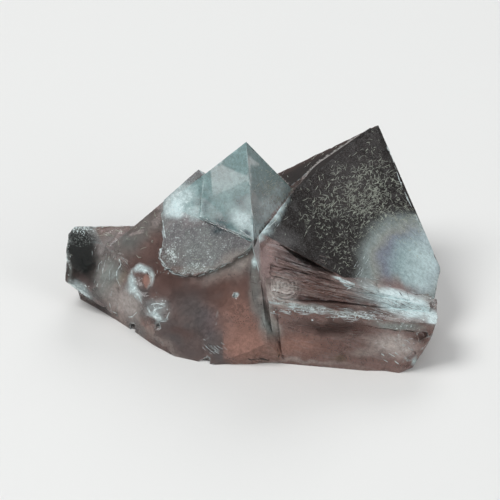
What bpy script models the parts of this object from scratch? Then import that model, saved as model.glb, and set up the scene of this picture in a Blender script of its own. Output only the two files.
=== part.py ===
"""Fluorite specimen: three octahedral crystals grown into one another, one closed solid.

Positions are millimetres with +Z up and the resting face at z = 0, and the
photographed side looks toward -Y. TO_MIDDLE is added to all of them.
"""
import math

import bmesh
import bpy
import numpy as np
from mathutils import Euler, Matrix, Vector

MM = 0.001
# Moves everything sideways so that the middle of the outline is at x = y = 0.
TO_MIDDLE = (-0.37, -17.42, 0.0)

# The three crystals: centre, reach from centre to corner, and turn in degrees.
BIG_CENTRE = (9.0, 16.22, 2.09)
BIG_REACH = 32.1
BIG_TURN = (-46.36, 4.17, -28.18)
LEFT_CENTRE = (-4.55, 19.04, 0.41)
LEFT_REACH = 31.35
LEFT_TURN = (5.46, 5.23, 16.11)
TOP_CENTRE = (-2.29, 15.25, 19.73)
TOP_REACH = 11.72
TOP_TURN = (5.94, 6.93, 15.22)

# Outward direction of the left crystal's broad front face and a point on it.
BROAD_OUT = (-0.3325, -0.7515, 0.5695)
BROAD_POINT = (-8.09, 15.5, 25.52)

# The thin growth plate on the broad face: rim corners, then how far it stands out.
PLATE_RIM = (
    (-8.2, 15.5, 25.5),
    (-8.9, 15.4, 24.9),
    (-13.9, 14.2, 20.4),
    (-14.4, 12.4, 17.8),
    (-13.9, 10.3, 15.2),
    (-15.0, 8.9, 12.9),
    (-13.9, 7.4, 11.5),
    (-11.6, 6.1, 11.0),
    (-9.0, 5.2, 11.3),
    (-6.4, 4.8, 12.3),
    (-3.1, 4.6, 14.1),
    (0.0, 4.9, 16.2),
    (1.6, 5.5, 18.0),
    (0.5, 8.0, 21.0),
)
PLATE_OUT = 0.9
PLATE_IN = 1.6
SCALLOP_DEPTH = 0.22
SCALLOP_STEPS = 4
SCALLOP_TURN = 2.4
# First and last of the rim corners that are followed by scallops.
SCALLOPED_FROM = 2
SCALLOPED_TO = 10

# The clear lump broken out of the left end.
LUMP_CORNERS = (
    (-30.9, 15.3, 4.8),
    (-30.2, 14.9, 14.0),
    (-29.1, 15.3, 15.1),
    (-20.0, 14.8, 15.5),
    (-18.5, 10.2, 11.0),
    (-27.4, 12.9, 3.2),
    (-23.4, 11.2, 1.5),
    (-18.0, 8.5, -1.0),
    (-24.5, 11.4, 9.0),
    (-30.3, 20.5, 6.5),
    (-28.6, 21.0, 10.8),
    (-18.0, 22.0, 11.5),
    (-18.0, 20.0, 1.0),
)

# The foot under the cleavage ledge of the big crystal.
FOOT_CORNERS = (
    (4.2, -3.1, 11.6),
    (11.5, -4.8, 10.0),
    (18.1, -6.2, 9.4),
    (24.7, -7.7, 9.5),
    (30.6, -6.0, 8.2),
    (30.7, 3.0, 8.0),
    (5.4, -4.3, 0.0),
    (13.2, -5.3, 0.0),
    (19.1, -6.2, 0.0),
    (24.1, -7.7, 0.0),
    (26.7, -5.9, 0.1),
    (28.5, -5.3, 3.3),
    (29.8, -5.2, 5.4),
    (26.8, 3.0, 0.0),
    (5.0, 3.0, 0.0),
    (5.0, 3.0, 11.5),
)

# Terraces that fan out between the big crystal's lower edge and the ledge:
# left end, right end, height at the left, height at the right, stand-out.
TERRACES = (
    ((3.3, -3.4, 13.4), (30.2, -1.4, 7.9), 2.6, 1.3, 0.75),
    ((3.4, -3.4, 16.1), (26.0, -1.4, 9.6), 1.8, 0.9, 0.40),
    ((4.2, -3.4, 18.4), (21.0, -1.6, 11.7), 1.0, 0.7, 0.60),
)
WALL_OUT = (0.123, -0.992, -0.023)
# Share of the stand-out that is left at a terrace's top, and how far it reaches into the wall.
TERRACE_TOP = 0.55
TERRACE_ROOT = 3.0

# Dark gap just under the lower edge of the big crystal's front face.
GAP_CORNERS = (
    (4.3, -6.0, 22.2),
    (14.6, -5.0, 15.2),
    (9.0, -5.5, 17.2),
    (5.0, -1.4, 21.6),
    (14.0, -0.8, 15.3),
    (9.0, -1.0, 18.0),
)

# Plane cuts: a point on the cut and the direction of the side taken away.
# The growth layer on the big crystal's upper left face ends at LAYER_LIMIT.
LEFT_APEX_CUT = ((-8.25, 15.4, 25.4), (0.768, 0.30, 0.565))
TOP_CORNER_CUT = ((-7.6, 15.6, 25.4), (-0.985, 0.03, 0.10))
FLANK_CUT = ((2.9, -3.4, 11.3), (-0.969, -0.21, -0.128))
# The big crystal ends where the top crystal comes out of it: MEETING_CUT is the side that it shows there,
# and the floors lie just under the top crystal's right and left faces.
MEETING_CUT = ((0.99, -5.77, 23.94), (-0.827, 0.307, 0.472))
MEETING_FLOORS = (
    ((2.87, 12.31, 22.65), (-0.779, 0.445, -0.441)),
    ((-4.45, 10.31, 23.57), (0.327, 0.746, -0.58)),
)
LAYER_CUT = ((12.98, 24.87, 22.9), (-0.446, 0.261, 0.856))
LAYER_DEPTH = 0.35
LAYER_LIMIT = (0.64, -0.60, 0.48)

# Broken faces: a point on the break, the side taken away, half width, roughness, seed.
BREAKS = (
    ("left_break", (-17.4, 4.4, 8.0), (-0.78, -0.62, 0.0), 34.0, 0.55, 3),
    ("front_break", (2.0, -4.75, 2.0), (0.05, -0.98, -0.2), 9.0, 0.25, 5),
    ("right_break", (30.6, 6.0, 10.0), (0.993, -0.12, 0.0), 30.0, 0.45, 8),
    ("back_break", (-8.0, 39.5, 8.0), (-0.30, 0.95, 0.10), 36.0, 0.9, 13),
)
LOWER_RIGHT_BREAK = ("lower_right_break", (29.0, 2.0, 2.7), (0.93, -0.05, -0.36), 22.0, 0.35, 21)
NEAR_CORNERS = 0.03
BREAK_CELLS = 13
BREAK_DEPTH = 30.0
# Waves of a broken face: how many, the longest, and how much shorter and weaker each next one is.
BREAK_WAVES = 5
LONGEST_WAVE = 22.0
WAVE_SHORTER = 1.6
WAVE_WEAKER = 1.35

# Small chips: centre, reach, turn in degrees.
CHIPS = (
    ((24.6, 29.9, 19.9), 0.75, (20, 35, 10)),
    ((26.9, 25.6, 15.0), 0.65, (50, 15, 40)),
    ((28.9, 20.0, 11.9), 0.85, (15, 60, 25)),
    ((30.3, 16.4, 9.9), 0.70, (35, 20, 70)),
    ((-7.4, -4.0, -0.3), 1.5, (10, 25, 40)),
    ((-19.4, 6.9, 0.6), 1.2, (30, 15, 10)),
    ((-24.2, 11.4, 1.2), 1.1, (15, 40, 60)),
    ((28.2, -6.2, 6.3), 1.5, (25, 10, 50)),
    ((22.0, -7.6, 3.4), 1.3, (60, 30, 15)),
    ((26.6, -7.3, 2.9), 1.5, (40, 55, 20)),
    ((31.7, 0.3, 10.0), 2.1, (12, 48, 33)),
    ((-15.8, 1.4, 3.9), 1.6, (18, 22, 60)),
    ((-17.6, 6.2, 9.3), 1.5, (70, 22, 35)),
    ((-2.5, 1.0, 9.7), 0.6, (40, 20, 15)),
)
# Shell-shaped scoops left by broken flakes: centre and reach.
SCOOPS = (
    ((-29.5, 0.6, 13.0), 13.4),
    ((-28.5, -7.2, 7.5), 15.2),
    ((-20.6, -7.6, 13.0), 14.4),
    ((-21.2, -0.4, 15.6), 11.2),
    ((30.5, -17.2, 6.0), 11.6),
    ((20.0, -19.6, 3.0), 13.4),
    ((43.5, 3.0, 4.0), 13.6),
    ((36.0, -12.0, 14.5), 8.6),
    ((-8.0, 53.6, 14.0), 15.0),
    ((24.5, 50.6, 10.0), 16.8),
    ((-32.0, 34.0, 20.5), 13.5),
    ((3.0, -16.0, -1.0), 12.0),
)
SCOOP_ROUNDNESS = 3
FLOOR_REACH = 90.0


def clear_scene():
    for found in list(bpy.data.objects):
        bpy.data.objects.remove(found, do_unlink=True)


def collection(name):
    made = bpy.data.collections.new(name)
    bpy.context.scene.collection.children.link(made)
    return made


def finish_mesh(name, bm, home):
    """Turn a bmesh in millimetres into a linked object in metres."""
    bmesh.ops.recalc_face_normals(bm, faces=bm.faces)
    bmesh.ops.translate(bm, vec=TO_MIDDLE, verts=bm.verts)
    bmesh.ops.scale(bm, vec=(MM, MM, MM), verts=bm.verts)
    mesh = bpy.data.meshes.new(name)
    bm.to_mesh(mesh)
    bm.free()
    made = bpy.data.objects.new(name, mesh)
    home.objects.link(made)
    return made


def octahedron(name, centre, reach, turn, home):
    bm = bmesh.new()
    bmesh.ops.create_uvsphere(bm, u_segments=4, v_segments=2, radius=reach)
    bmesh.ops.triangulate(bm, faces=bm.faces)
    angles = Euler([math.radians(angle) for angle in turn], "XYZ")
    placed = Matrix.Translation(Vector(centre)) @ angles.to_matrix().to_4x4()
    bmesh.ops.transform(bm, matrix=placed, verts=bm.verts)
    return finish_mesh(name, bm, home)


def scoop(name, centre, reach, home):
    bm = bmesh.new()
    bmesh.ops.create_icosphere(bm, subdivisions=SCOOP_ROUNDNESS, radius=reach)
    bmesh.ops.translate(bm, vec=centre, verts=bm.verts)
    return finish_mesh(name, bm, home)


def hull(name, corners, home):
    """Smallest convex block round the corners."""
    bm = bmesh.new()
    for corner in corners:
        bm.verts.new(corner)
    found = bmesh.ops.convex_hull(bm, input=bm.verts)
    spare = [item for item in found["geom_interior"] if isinstance(item, bmesh.types.BMVert)]
    bmesh.ops.delete(bm, geom=spare, context="VERTS")
    return finish_mesh(name, bm, home)


def facing(direction):
    """Turn that carries local +Z onto the given direction."""
    return Vector(direction).normalized().to_track_quat("Z", "Y").to_matrix().to_4x4()


def half_space(name, cut, home):
    """A large block that starts at the cut and reaches away from it."""
    point, out = cut
    bm = bmesh.new()
    bmesh.ops.create_cube(bm, size=FLOOR_REACH)
    lift = Matrix.Translation((0.0, 0.0, FLOOR_REACH / 2))
    placed = Matrix.Translation(Vector(point)) @ facing(out) @ lift
    bmesh.ops.transform(bm, matrix=placed, verts=bm.verts)
    return finish_mesh(name, bm, home)


def broken_face(x, y, rough, seed):
    """Height of a broken face: broad shell-like waves with a few sharp steps."""
    pick = np.random.default_rng(seed)
    total = np.zeros_like(x)
    for wave in range(BREAK_WAVES):
        angle, shift = pick.uniform(0.0, 2 * math.pi, 2)
        length = LONGEST_WAVE / WAVE_SHORTER ** wave
        along = x * math.cos(angle) + y * math.sin(angle)
        total += np.abs(np.sin(math.pi * along / length + shift)) / WAVE_WEAKER ** wave
    return rough * (total - total.mean())


def break_block(name, point, out, half_width, rough, seed, home):
    """A closed block whose near side is a broken face."""
    line = np.linspace(-half_width, half_width, BREAK_CELLS + 1)
    x, y = np.meshgrid(line, line, indexing="ij")
    near = broken_face(x, y, rough, seed)
    bm = bmesh.new()
    front = [[bm.verts.new((x[i, j], y[i, j], near[i, j])) for j in range(BREAK_CELLS + 1)]
             for i in range(BREAK_CELLS + 1)]
    for i in range(BREAK_CELLS):
        for j in range(BREAK_CELLS):
            a, b, c, d = front[i][j], front[i + 1][j], front[i + 1][j + 1], front[i][j + 1]
            bm.faces.new((a, b, c))
            bm.faces.new((a, c, d))
    rim = [edge for edge in bm.edges if len(edge.link_faces) == 1]
    grown = bmesh.ops.extrude_edge_only(bm, edges=rim)
    for item in grown["geom"]:
        if isinstance(item, bmesh.types.BMVert):
            item.co.z = BREAK_DEPTH
    far = [edge for edge in bm.edges if len(edge.link_faces) == 1]
    bmesh.ops.contextual_create(bm, geom=far)
    bmesh.ops.triangulate(bm, faces=bm.faces)
    placed = Matrix.Translation(Vector(point)) @ facing(out)
    bmesh.ops.transform(bm, matrix=placed, verts=bm.verts)
    return finish_mesh(name, bm, home)


def scalloped(corners):
    """Rim through the corners with small scallops between the lower ones."""
    middle = sum((Vector(corner) for corner in corners), Vector()) / len(corners)
    rim = []
    for index, corner in enumerate(corners):
        here = Vector(corner)
        there = Vector(corners[(index + 1) % len(corners)])
        if SCALLOPED_FROM <= index <= SCALLOPED_TO:
            for step in range(SCALLOP_STEPS):
                part = step / SCALLOP_STEPS
                spot = here.lerp(there, part)
                outward = (spot - middle).normalized()
                swing = math.sin(SCALLOP_TURN * (index * SCALLOP_STEPS + step)) * SCALLOP_DEPTH
                rim.append(spot + outward * swing)
        else:
            rim.append(here)
    return rim


def growth_plate(name, corners, home):
    """Flat plate lying on the broad face and standing out from it."""
    out = Vector(BROAD_OUT).normalized()
    base = Vector(BROAD_POINT)
    rim = [spot - out * (spot - base).dot(out) for spot in scalloped(corners)]
    bm = bmesh.new()
    outer = [bm.verts.new(spot + out * PLATE_OUT) for spot in rim]
    inner = [bm.verts.new(spot - out * PLATE_IN) for spot in rim]
    bm.faces.new(outer)
    bm.faces.new(list(reversed(inner)))
    for index in range(len(rim)):
        after = (index + 1) % len(rim)
        bm.faces.new((outer[index], inner[index], inner[after], outer[after]))
    bmesh.ops.triangulate(bm, faces=bm.faces)
    return finish_mesh(name, bm, home)


def terrace(name, left, right, tall_left, tall_right, stand, home):
    """Wedge-shaped step on the wall, from the left end to the right end."""
    out = Vector(WALL_OUT).normalized()
    ends = ((Vector(left), tall_left), (Vector(right), tall_right))
    corners = []
    for end, tall in ends:
        up = Vector((0.0, 0.0, tall))
        corners.append(end + out * stand)
        corners.append(end + out * stand * TERRACE_TOP + up)
        corners.append(end - out * TERRACE_ROOT)
        corners.append(end - out * TERRACE_ROOT + up)
    return hull(name, corners, home)


def combine(target, other, operation):
    made = target.modifiers.new(other.name, "BOOLEAN")
    made.operation = operation
    made.solver = "EXACT"
    made.object = other


def crystal_material():
    """Clear dusky pink mineral, coloured through its depth."""
    made = bpy.data.materials.new("fluorite_clear")
    made.use_nodes = True
    shader = made.node_tree.nodes["Principled BSDF"]
    shader.inputs["Base Color"].default_value = (0.52, 0.45, 0.43, 1.0)
    shader.inputs["Roughness"].default_value = 0.12
    shader.inputs["IOR"].default_value = 1.434
    shader.inputs["Transmission Weight"].default_value = 0.6
    return made


def main():
    clear_scene()
    shown = collection("fluorite_specimen")
    tools = collection("cutting_shapes")
    body = octahedron("fluorite_crystals", LEFT_CENTRE, LEFT_REACH, LEFT_TURN, shown)

    big = octahedron("big_crystal", BIG_CENTRE, BIG_REACH, BIG_TURN, tools)
    combine(big, half_space("flank_cut", FLANK_CUT, tools), "DIFFERENCE")
    for index, floor in enumerate(MEETING_FLOORS):
        meeting = half_space("meeting_cut_%d" % index, MEETING_CUT, tools)
        combine(meeting, half_space("meeting_floor_%d" % index, floor, tools), "DIFFERENCE")
        combine(big, meeting, "DIFFERENCE")
    layer_point = Vector(LAYER_CUT[0]) - Vector(LAYER_CUT[1]).normalized() * LAYER_DEPTH
    layer = half_space("layer_cut", (layer_point, LAYER_CUT[1]), tools)
    combine(layer, half_space("layer_limit", (LAYER_CUT[0], LAYER_LIMIT), tools), "DIFFERENCE")
    combine(big, layer, "DIFFERENCE")

    top = octahedron("top_crystal", TOP_CENTRE, TOP_REACH, TOP_TURN, tools)
    combine(top, half_space("top_corner_cut", TOP_CORNER_CUT, tools), "DIFFERENCE")

    combine(body, half_space("left_apex_cut", LEFT_APEX_CUT, tools), "DIFFERENCE")
    left, front, right, back = [break_block(*given, home=tools) for given in BREAKS]
    combine(body, left, "DIFFERENCE")
    combine(body, growth_plate("growth_plate", PLATE_RIM, tools), "UNION")
    combine(body, big, "UNION")
    combine(body, front, "DIFFERENCE")
    combine(body, hull("gap_under_edge", GAP_CORNERS, tools), "DIFFERENCE")
    for index, given in enumerate(TERRACES):
        combine(body, terrace("terrace_%d" % index, *given, home=tools), "UNION")
    combine(body, right, "DIFFERENCE")
    combine(body, hull("foot", FOOT_CORNERS, tools), "UNION")
    combine(body, top, "UNION")
    combine(body, hull("clear_lump", LUMP_CORNERS, tools), "UNION")
    combine(body, back, "DIFFERENCE")
    combine(body, break_block(*LOWER_RIGHT_BREAK, home=tools), "DIFFERENCE")
    for index, (centre, reach) in enumerate(SCOOPS):
        combine(body, scoop("scoop_%d" % index, centre, reach, tools), "DIFFERENCE")
    for index, (centre, reach, turn) in enumerate(CHIPS):
        chip = octahedron("chip_%d" % index, centre, reach, turn, tools)
        combine(body, chip, "DIFFERENCE")
    combine(body, half_space("floor_cut", ((0.0, 0.0, 0.0), (0.0, 0.0, -1.0)), tools), "DIFFERENCE")

    join = body.modifiers.new("join_near_corners", "WELD")
    join.merge_threshold = NEAR_CORNERS * MM

    body.data.materials.append(crystal_material())
    for cutter in tools.objects:
        cutter.hide_render = True
        cutter.display_type = "WIRE"


main()
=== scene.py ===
import math
from collections import namedtuple

import bmesh
import bpy
import numpy as np
from mathutils import Euler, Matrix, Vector


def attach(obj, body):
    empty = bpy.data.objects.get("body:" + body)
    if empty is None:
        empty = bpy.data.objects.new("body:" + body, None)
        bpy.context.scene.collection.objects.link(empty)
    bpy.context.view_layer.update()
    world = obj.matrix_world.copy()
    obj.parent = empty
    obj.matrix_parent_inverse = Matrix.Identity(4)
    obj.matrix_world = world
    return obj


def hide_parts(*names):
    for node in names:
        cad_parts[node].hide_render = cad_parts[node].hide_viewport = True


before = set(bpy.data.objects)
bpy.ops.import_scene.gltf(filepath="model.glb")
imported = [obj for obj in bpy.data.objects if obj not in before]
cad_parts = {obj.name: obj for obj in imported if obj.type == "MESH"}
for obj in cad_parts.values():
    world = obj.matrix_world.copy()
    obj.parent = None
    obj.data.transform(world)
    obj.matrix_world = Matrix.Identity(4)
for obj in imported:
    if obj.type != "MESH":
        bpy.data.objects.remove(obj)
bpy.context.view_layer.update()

bl_info = {
    "name": "Fluorite Specimen",
    "version": (1, 0, 0),
    "blender": (4, 5, 0),
    "location": "View3D > Sidebar > Fluorite",
    "description": "Clear and milky fluorite crystals with fine growth marks, frost and a plain stage",
    "category": "Add Mesh",
}

# One millimetre in metres.
MM = 0.001
CRYSTALS = "fluorite_crystals"
# The side that is looked at, in degrees: turn about the vertical, and height above the horizon.
VIEW_TURN = 0.0
VIEW_HEIGHT = 28.0


def shown(red, green, blue):
    """Screen colour, 0 to 255, as the linear colour that shaders use: the usual screen curve undone."""
    parts = np.array([red, green, blue]) / 255.0
    low = parts / 12.92
    high = ((parts + 0.055) / 1.055) ** 2.4
    return tuple(float(part) for part in np.where(parts <= 0.04045, low, high))


def colour_setting(name, description, red, green, blue):
    return bpy.props.FloatVectorProperty(
        name=name,
        description=description,
        subtype="COLOR",
        size=3,
        min=0.0,
        max=1.0,
        default=shown(red, green, blue),
    )


def length_setting(name, description, millimetres):
    return bpy.props.FloatProperty(
        name=name,
        description=description,
        subtype="DISTANCE",
        unit="LENGTH",
        min=0.0,
        precision=5,
        default=millimetres * MM,
    )


def plain_setting(name, description, least, default):
    return bpy.props.FloatProperty(name=name, description=description, min=least, default=default)


class FluoriteSizes(bpy.types.PropertyGroup):
    finest: length_setting("Finest triangle", "Longest edge of the surface where it faces the front", 0.5)
    mark_width: plain_setting("Growth mark width", "Width of the growth marks, 1 is as seen", 0.1, 1.0)
    mark_height: plain_setting("Growth mark height", "Height as a share of the width", 0.1, 0.7)


class FluoriteColours(bpy.types.PropertyGroup):
    # Dusk and night are the large crystal's smoky tone laid dark, partly painted shade: the darkness of dark
    # surroundings seen through the clear crystal.
    dusk: colour_setting("Dusk", "Large crystal's dark front face", 46, 42, 41)
    night_and_painted_dark: colour_setting("Night", "Large crystal's darkest faces", 44, 39, 38)
    rose: colour_setting("Rose", "Dusky pink of the crystals", 148, 120, 113)
    salmon: colour_setting("Salmon", "Warmest pink, low in the crystals", 170, 130, 117)
    rose_brown: colour_setting("Rose brown", "Red-brown depth of the pink crystals", 104, 76, 69)
    smoke: colour_setting("Smoke", "Neutral grey of thin places", 116, 114, 114)
    violet_grey: colour_setting("Violet grey", "Cool strip beside the warm heart", 112, 109, 114)
    sage: colour_setting("Sage", "Pale green of the top crystal", 155, 186, 186)
    slate: colour_setting("Slate", "Blue-grey windows in the pale places", 92, 108, 114)
    ice: colour_setting("Ice", "Bright blue-white veils", 208, 228, 229)
    frost: colour_setting("Frost", "Whitest broken and frosted places", 228, 250, 252)
    pearl: colour_setting("Pearl", "Warm pale grey of the wall's lines", 180, 171, 164)
    mist: colour_setting("Mist", "Cool pale grey of veils and cracked places", 150, 158, 154)
    mauve: colour_setting("Mauve", "Cool grey of the growth plate", 137, 137, 139)
    pale_rose: colour_setting("Pale rose", "Pale pink-grey swirls and clumps", 212, 202, 196)
    umber: colour_setting("Umber", "Dark red-brown under the ledge", 66, 46, 40)
    straw: colour_setting("Straw", "Faint yellow ring in the veil", 156, 146, 130)
    iris: colour_setting("Iris", "Faint violet-blue ring in the veil", 132, 140, 160)
    stain: colour_setting("Stain", "Brown-green stains along the seams", 84, 80, 58)
    bottle: colour_setting("Bottle", "Dark greenish depth of the clear lump", 17, 24, 23)


class FluoriteStage(bpy.types.PropertyGroup):
    floor_colour: colour_setting("Floor", "Plain pale floor", 226, 226, 224)
    floor_reach: length_setting("Floor reach", "Radius of the floor", 3000.0)
    lens: plain_setting("Lens", "Focal length in millimetres", 50.0, 400.0)
    picture_width: length_setting("Picture width", "Width that the camera takes in at the specimen", 82.5)


# Surfaces made of triangles.

# Less than any length or area that matters.
TINY = 1e-12
# A triangle whose doubled area in the view is less than this, in square millimetres, is left out as edge-on.
EDGE_ON = 1e-6
SIDES = [[0, 1], [1, 2], [2, 0]]
MOST_AT_ONCE = 1500


def unit(vector):
    vector = np.asarray(vector, float)
    return vector / np.linalg.norm(vector, axis=-1, keepdims=True)


def safe_unit(vectors):
    """Rows made one long, but left at nought where they are nought."""
    return vectors / np.maximum(np.linalg.norm(vectors, axis=1), TINY)[:, None]


def crossed_edges(corners):
    """Two edges of each triangle crossed: the way out of it, as long as twice its area."""
    return np.cross(corners[:, 1] - corners[:, 0], corners[:, 2] - corners[:, 0])


def greatest(which, values):
    """The greatest of the values that belong to each number."""
    most = np.full(which.max() + 1, -np.inf)
    np.maximum.at(most, which, values)
    return most


class Lookout:
    """The specimen seen square-on from one side. A place in that view is millimetres across and up."""

    def __init__(self, turn, height):
        turn = math.radians(turn)
        height = math.radians(height)
        self.toward = np.array([
            math.sin(turn) * math.cos(height),
            -math.cos(turn) * math.cos(height),
            math.sin(height),
        ])
        self.across = np.array([math.cos(turn), math.sin(turn), 0.0])
        self.up = np.cross(self.toward, self.across)
        self.axes = np.stack([self.across, self.up, self.toward])
        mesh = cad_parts[CRYSTALS].data
        mesh.calc_loop_triangles()
        points = np.empty(len(mesh.vertices) * 3)
        mesh.vertices.foreach_get("co", points)
        corners = np.empty(len(mesh.loop_triangles) * 3, int)
        mesh.loop_triangles.foreach_get("vertices", corners)
        seen = (points.reshape(-1, 3) / MM @ self.axes.T)[corners].reshape(-1, 3, 3)
        out = crossed_edges(seen)
        facing = out[:, 2] > EDGE_ON
        self.triangles = seen[facing]
        self.outward = unit(out[facing])

    def surface(self, across, up):
        """Places on the front surface, the directions out of it, and whether there is any surface. The
        weights of a place in a triangle are the areas that it spans with two corners, as shares of the whole
        area, and the nearest triangle that holds the place is kept."""
        if len(across) > MOST_AT_ONCE:
            starts = range(0, len(across), MOST_AT_ONCE)
            parts = [self.surface(across[at:at + MOST_AT_ONCE], up[at:at + MOST_AT_ONCE]) for at in starts]
            return tuple(np.concatenate(part) for part in zip(*parts))
        across = across[:, None]
        up = up[:, None]
        a, b, c = (self.triangles[:, corner] for corner in range(3))

        def spanned(first, second, across, up):
            return (first[:, 0] - across) * (second[:, 1] - up) - (first[:, 1] - up) * (second[:, 0] - across)

        whole = spanned(b, c, a[:, 0], a[:, 1])
        weight_a = spanned(b, c, across, up) / whole
        weight_b = spanned(c, a, across, up) / whole
        weight_c = 1.0 - weight_a - weight_b
        holds = (weight_a >= 0) & (weight_b >= 0) & (weight_c >= 0)
        near = np.where(holds, weight_a * a[:, 2] + weight_b * b[:, 2] + weight_c * c[:, 2], -np.inf)
        best = near.argmax(axis=1)
        depth = near.max(axis=1)
        found = np.isfinite(depth)
        seen = np.stack([across[:, 0], up[:, 0], np.where(found, depth, 0.0)], axis=1)
        return seen @ self.axes, self.outward[best] @ self.axes, found


FRONT = Lookout(VIEW_TURN, VIEW_HEIGHT)

# Random fields.

CELL_PRIMES = np.array([73856093, 19349663, 83492791])
SEED_PRIME = 50331653
MIXING_PRIME = 1274126177
OCTAVE_SHIFT = 31.7
# Each field's feature size in millimetres, octaves and seed.
NOISES = {
    "swell": (2.4, 3, 1),
    "crumple": (0.8, 2, 2),
    "ripple waver": (2.5, 2, 3),
    "frosted plate": (2.6, 2, 4),
    "plate grain": (0.7, 2, 5),
    "worn edges": (1.3, 2, 6),
    "clouds": (7.0, 3, 21),
    "fine": (1.1, 3, 22),
    "broken": (2.2, 3, 23),
    "waver across": (2.6, 3, 24),
    "waver up": (2.6, 3, 25),
    "mottle": (1.9, 3, 26),
    "veils behind": (11.0, 3, 27),
    "frost behind": (4.5, 3, 28),
    "line bends": (9.0, 2, 41),
    "wall lines": (0.9, 3, 42),
}


def cell_number(cell, seed):
    """A number from 0 to 1 for each lattice cell: its coordinates times large primes, mixed and cut short."""
    mixed = cell @ CELL_PRIMES + seed * SEED_PRIME
    mixed = (mixed ^ (mixed >> 13)) * MIXING_PRIME
    mixed = mixed ^ (mixed >> 16)
    return (mixed & 0xFFFF) / 65535.0


def noise(points, name):
    """A smooth random field from 0 to 1: numbers on a cubic lattice blended by the cubic step, and then
    octaves of half the size and half the strength added."""
    size, octaves, seed = NOISES[name]
    total = np.zeros(len(points))
    weight = 0.0
    for octave in range(octaves):
        spot = points * (2.0**octave / size) + OCTAVE_SHIFT * (octave + 1)
        cell = np.floor(spot).astype(np.int64)
        t = spot - cell
        t = t * t * (3.0 - 2.0 * t)
        value = np.zeros(len(points))
        for corner in np.ndindex(2, 2, 2):
            nearness = np.where(corner, t, 1.0 - t).prod(axis=1)
            value += nearness * cell_number(cell + corner, seed + octave)
        total += value * 0.5**octave
        weight += 0.5**octave
    return total / weight


def step(value, low, high):
    """0 below low and 1 above high, with the cubic step between; low may be the larger."""
    t = np.clip((value - low) / (high - low), 0.0, 1.0)
    return t * t * (3.0 - 2.0 * t)


# The crystals' forms.

# An octahedron: centre in millimetres, reach from centre to corner, and turn in degrees.
Octahedron = namedtuple("Octahedron", "centre reach turn")
LARGE = Octahedron((8.63, -1.2, 2.09), 32.1, (-46.36, 4.17, -28.18))
LEFT = Octahedron((-4.92, 1.62, 0.41), 31.35, (5.46, 5.23, 16.11))
TOP = Octahedron((-2.66, -2.17, 19.73), 11.72, (5.94, 6.93, 15.22))
LARGE_FRONT_OUT = (0.569, -0.283, 0.772)
LARGE_UPPER_LEFT_OUT = (-0.446, 0.261, 0.856)
LARGE_WALL_OUT = (0.123, -0.992, -0.023)
TOP_RIGHT_OUT = (0.779, -0.445, 0.441)
BROAD_OUT = (-0.3325, -0.7515, 0.5695)
# Where the left crystal's broad face lies along its outward direction, and how far the plate stands out.
BROAD_LEVEL = 18.79
PLATE_PROUD = 0.35
# The plate's right and lower ends in the photographed view.
PLATE_RIGHT = 1.2
PLATE_FOOT = 5.7
# Triangles: corners nearer than this are one, in metres, and how much coarser they are behind and below.
MERGE_DISTANCE = 1e-6
COARSER_BEHIND = 2.0
COARSER_BELOW = 6.0
# How squarely a triangle that counts as seen faces the view, and how one on the resting face points down.
SEEN_FROM = 0.03
RESTING = -0.98
# Faces meet at an edge from this angle on, in degrees.
EDGE_TURN = 25.0
# A small square of the view, and how far behind the nearest point in it a point still shows.
VIEW_SQUARE = 0.4
FRONT_SLACK = 3.0


def crystal_axes(directions, crystal):
    """Directions in the crystal's own three axes."""
    angles = Euler([math.radians(angle) for angle in crystal.turn], "XYZ")
    return directions @ np.array(angles.to_matrix())


def octahedron_reach(points, crystal):
    """Distances along the crystal's own three axes added up, as a share of its reach: 1 on its faces."""
    return np.abs(crystal_axes(points - crystal.centre, crystal)).sum(axis=-1) / crystal.reach


def merged_crystals():
    """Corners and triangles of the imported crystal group, with equal corners made one."""
    shape = bmesh.new()
    shape.from_mesh(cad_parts[CRYSTALS].data)
    bmesh.ops.remove_doubles(shape, verts=shape.verts, dist=MERGE_DISTANCE)
    bmesh.ops.dissolve_degenerate(shape, edges=shape.edges, dist=MERGE_DISTANCE)
    bmesh.ops.triangulate(shape, faces=shape.faces)
    shape.verts.index_update()
    points = np.array([corner.co for corner in shape.verts]) / MM
    triangles = np.array([[corner.index for corner in face.verts] for face in shape.faces])
    shape.free()
    return points, triangles


def edge_limits(points, triangles, which, finest):
    """Longest allowed length of each edge: finest beside a triangle that faces the photographed side, longer
    elsewhere, and longest where both triangles lie on the resting face."""
    out = safe_unit(crossed_edges(points[triangles]))
    faces = np.repeat(np.arange(len(triangles)), 3)
    seen = greatest(which, (out @ FRONT.toward)[faces])
    upright = greatest(which, out[faces, 2])
    limit = np.where(seen > SEEN_FROM, finest, finest * COARSER_BEHIND)
    return np.where(upright < RESTING, finest * COARSER_BELOW, limit)


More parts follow.
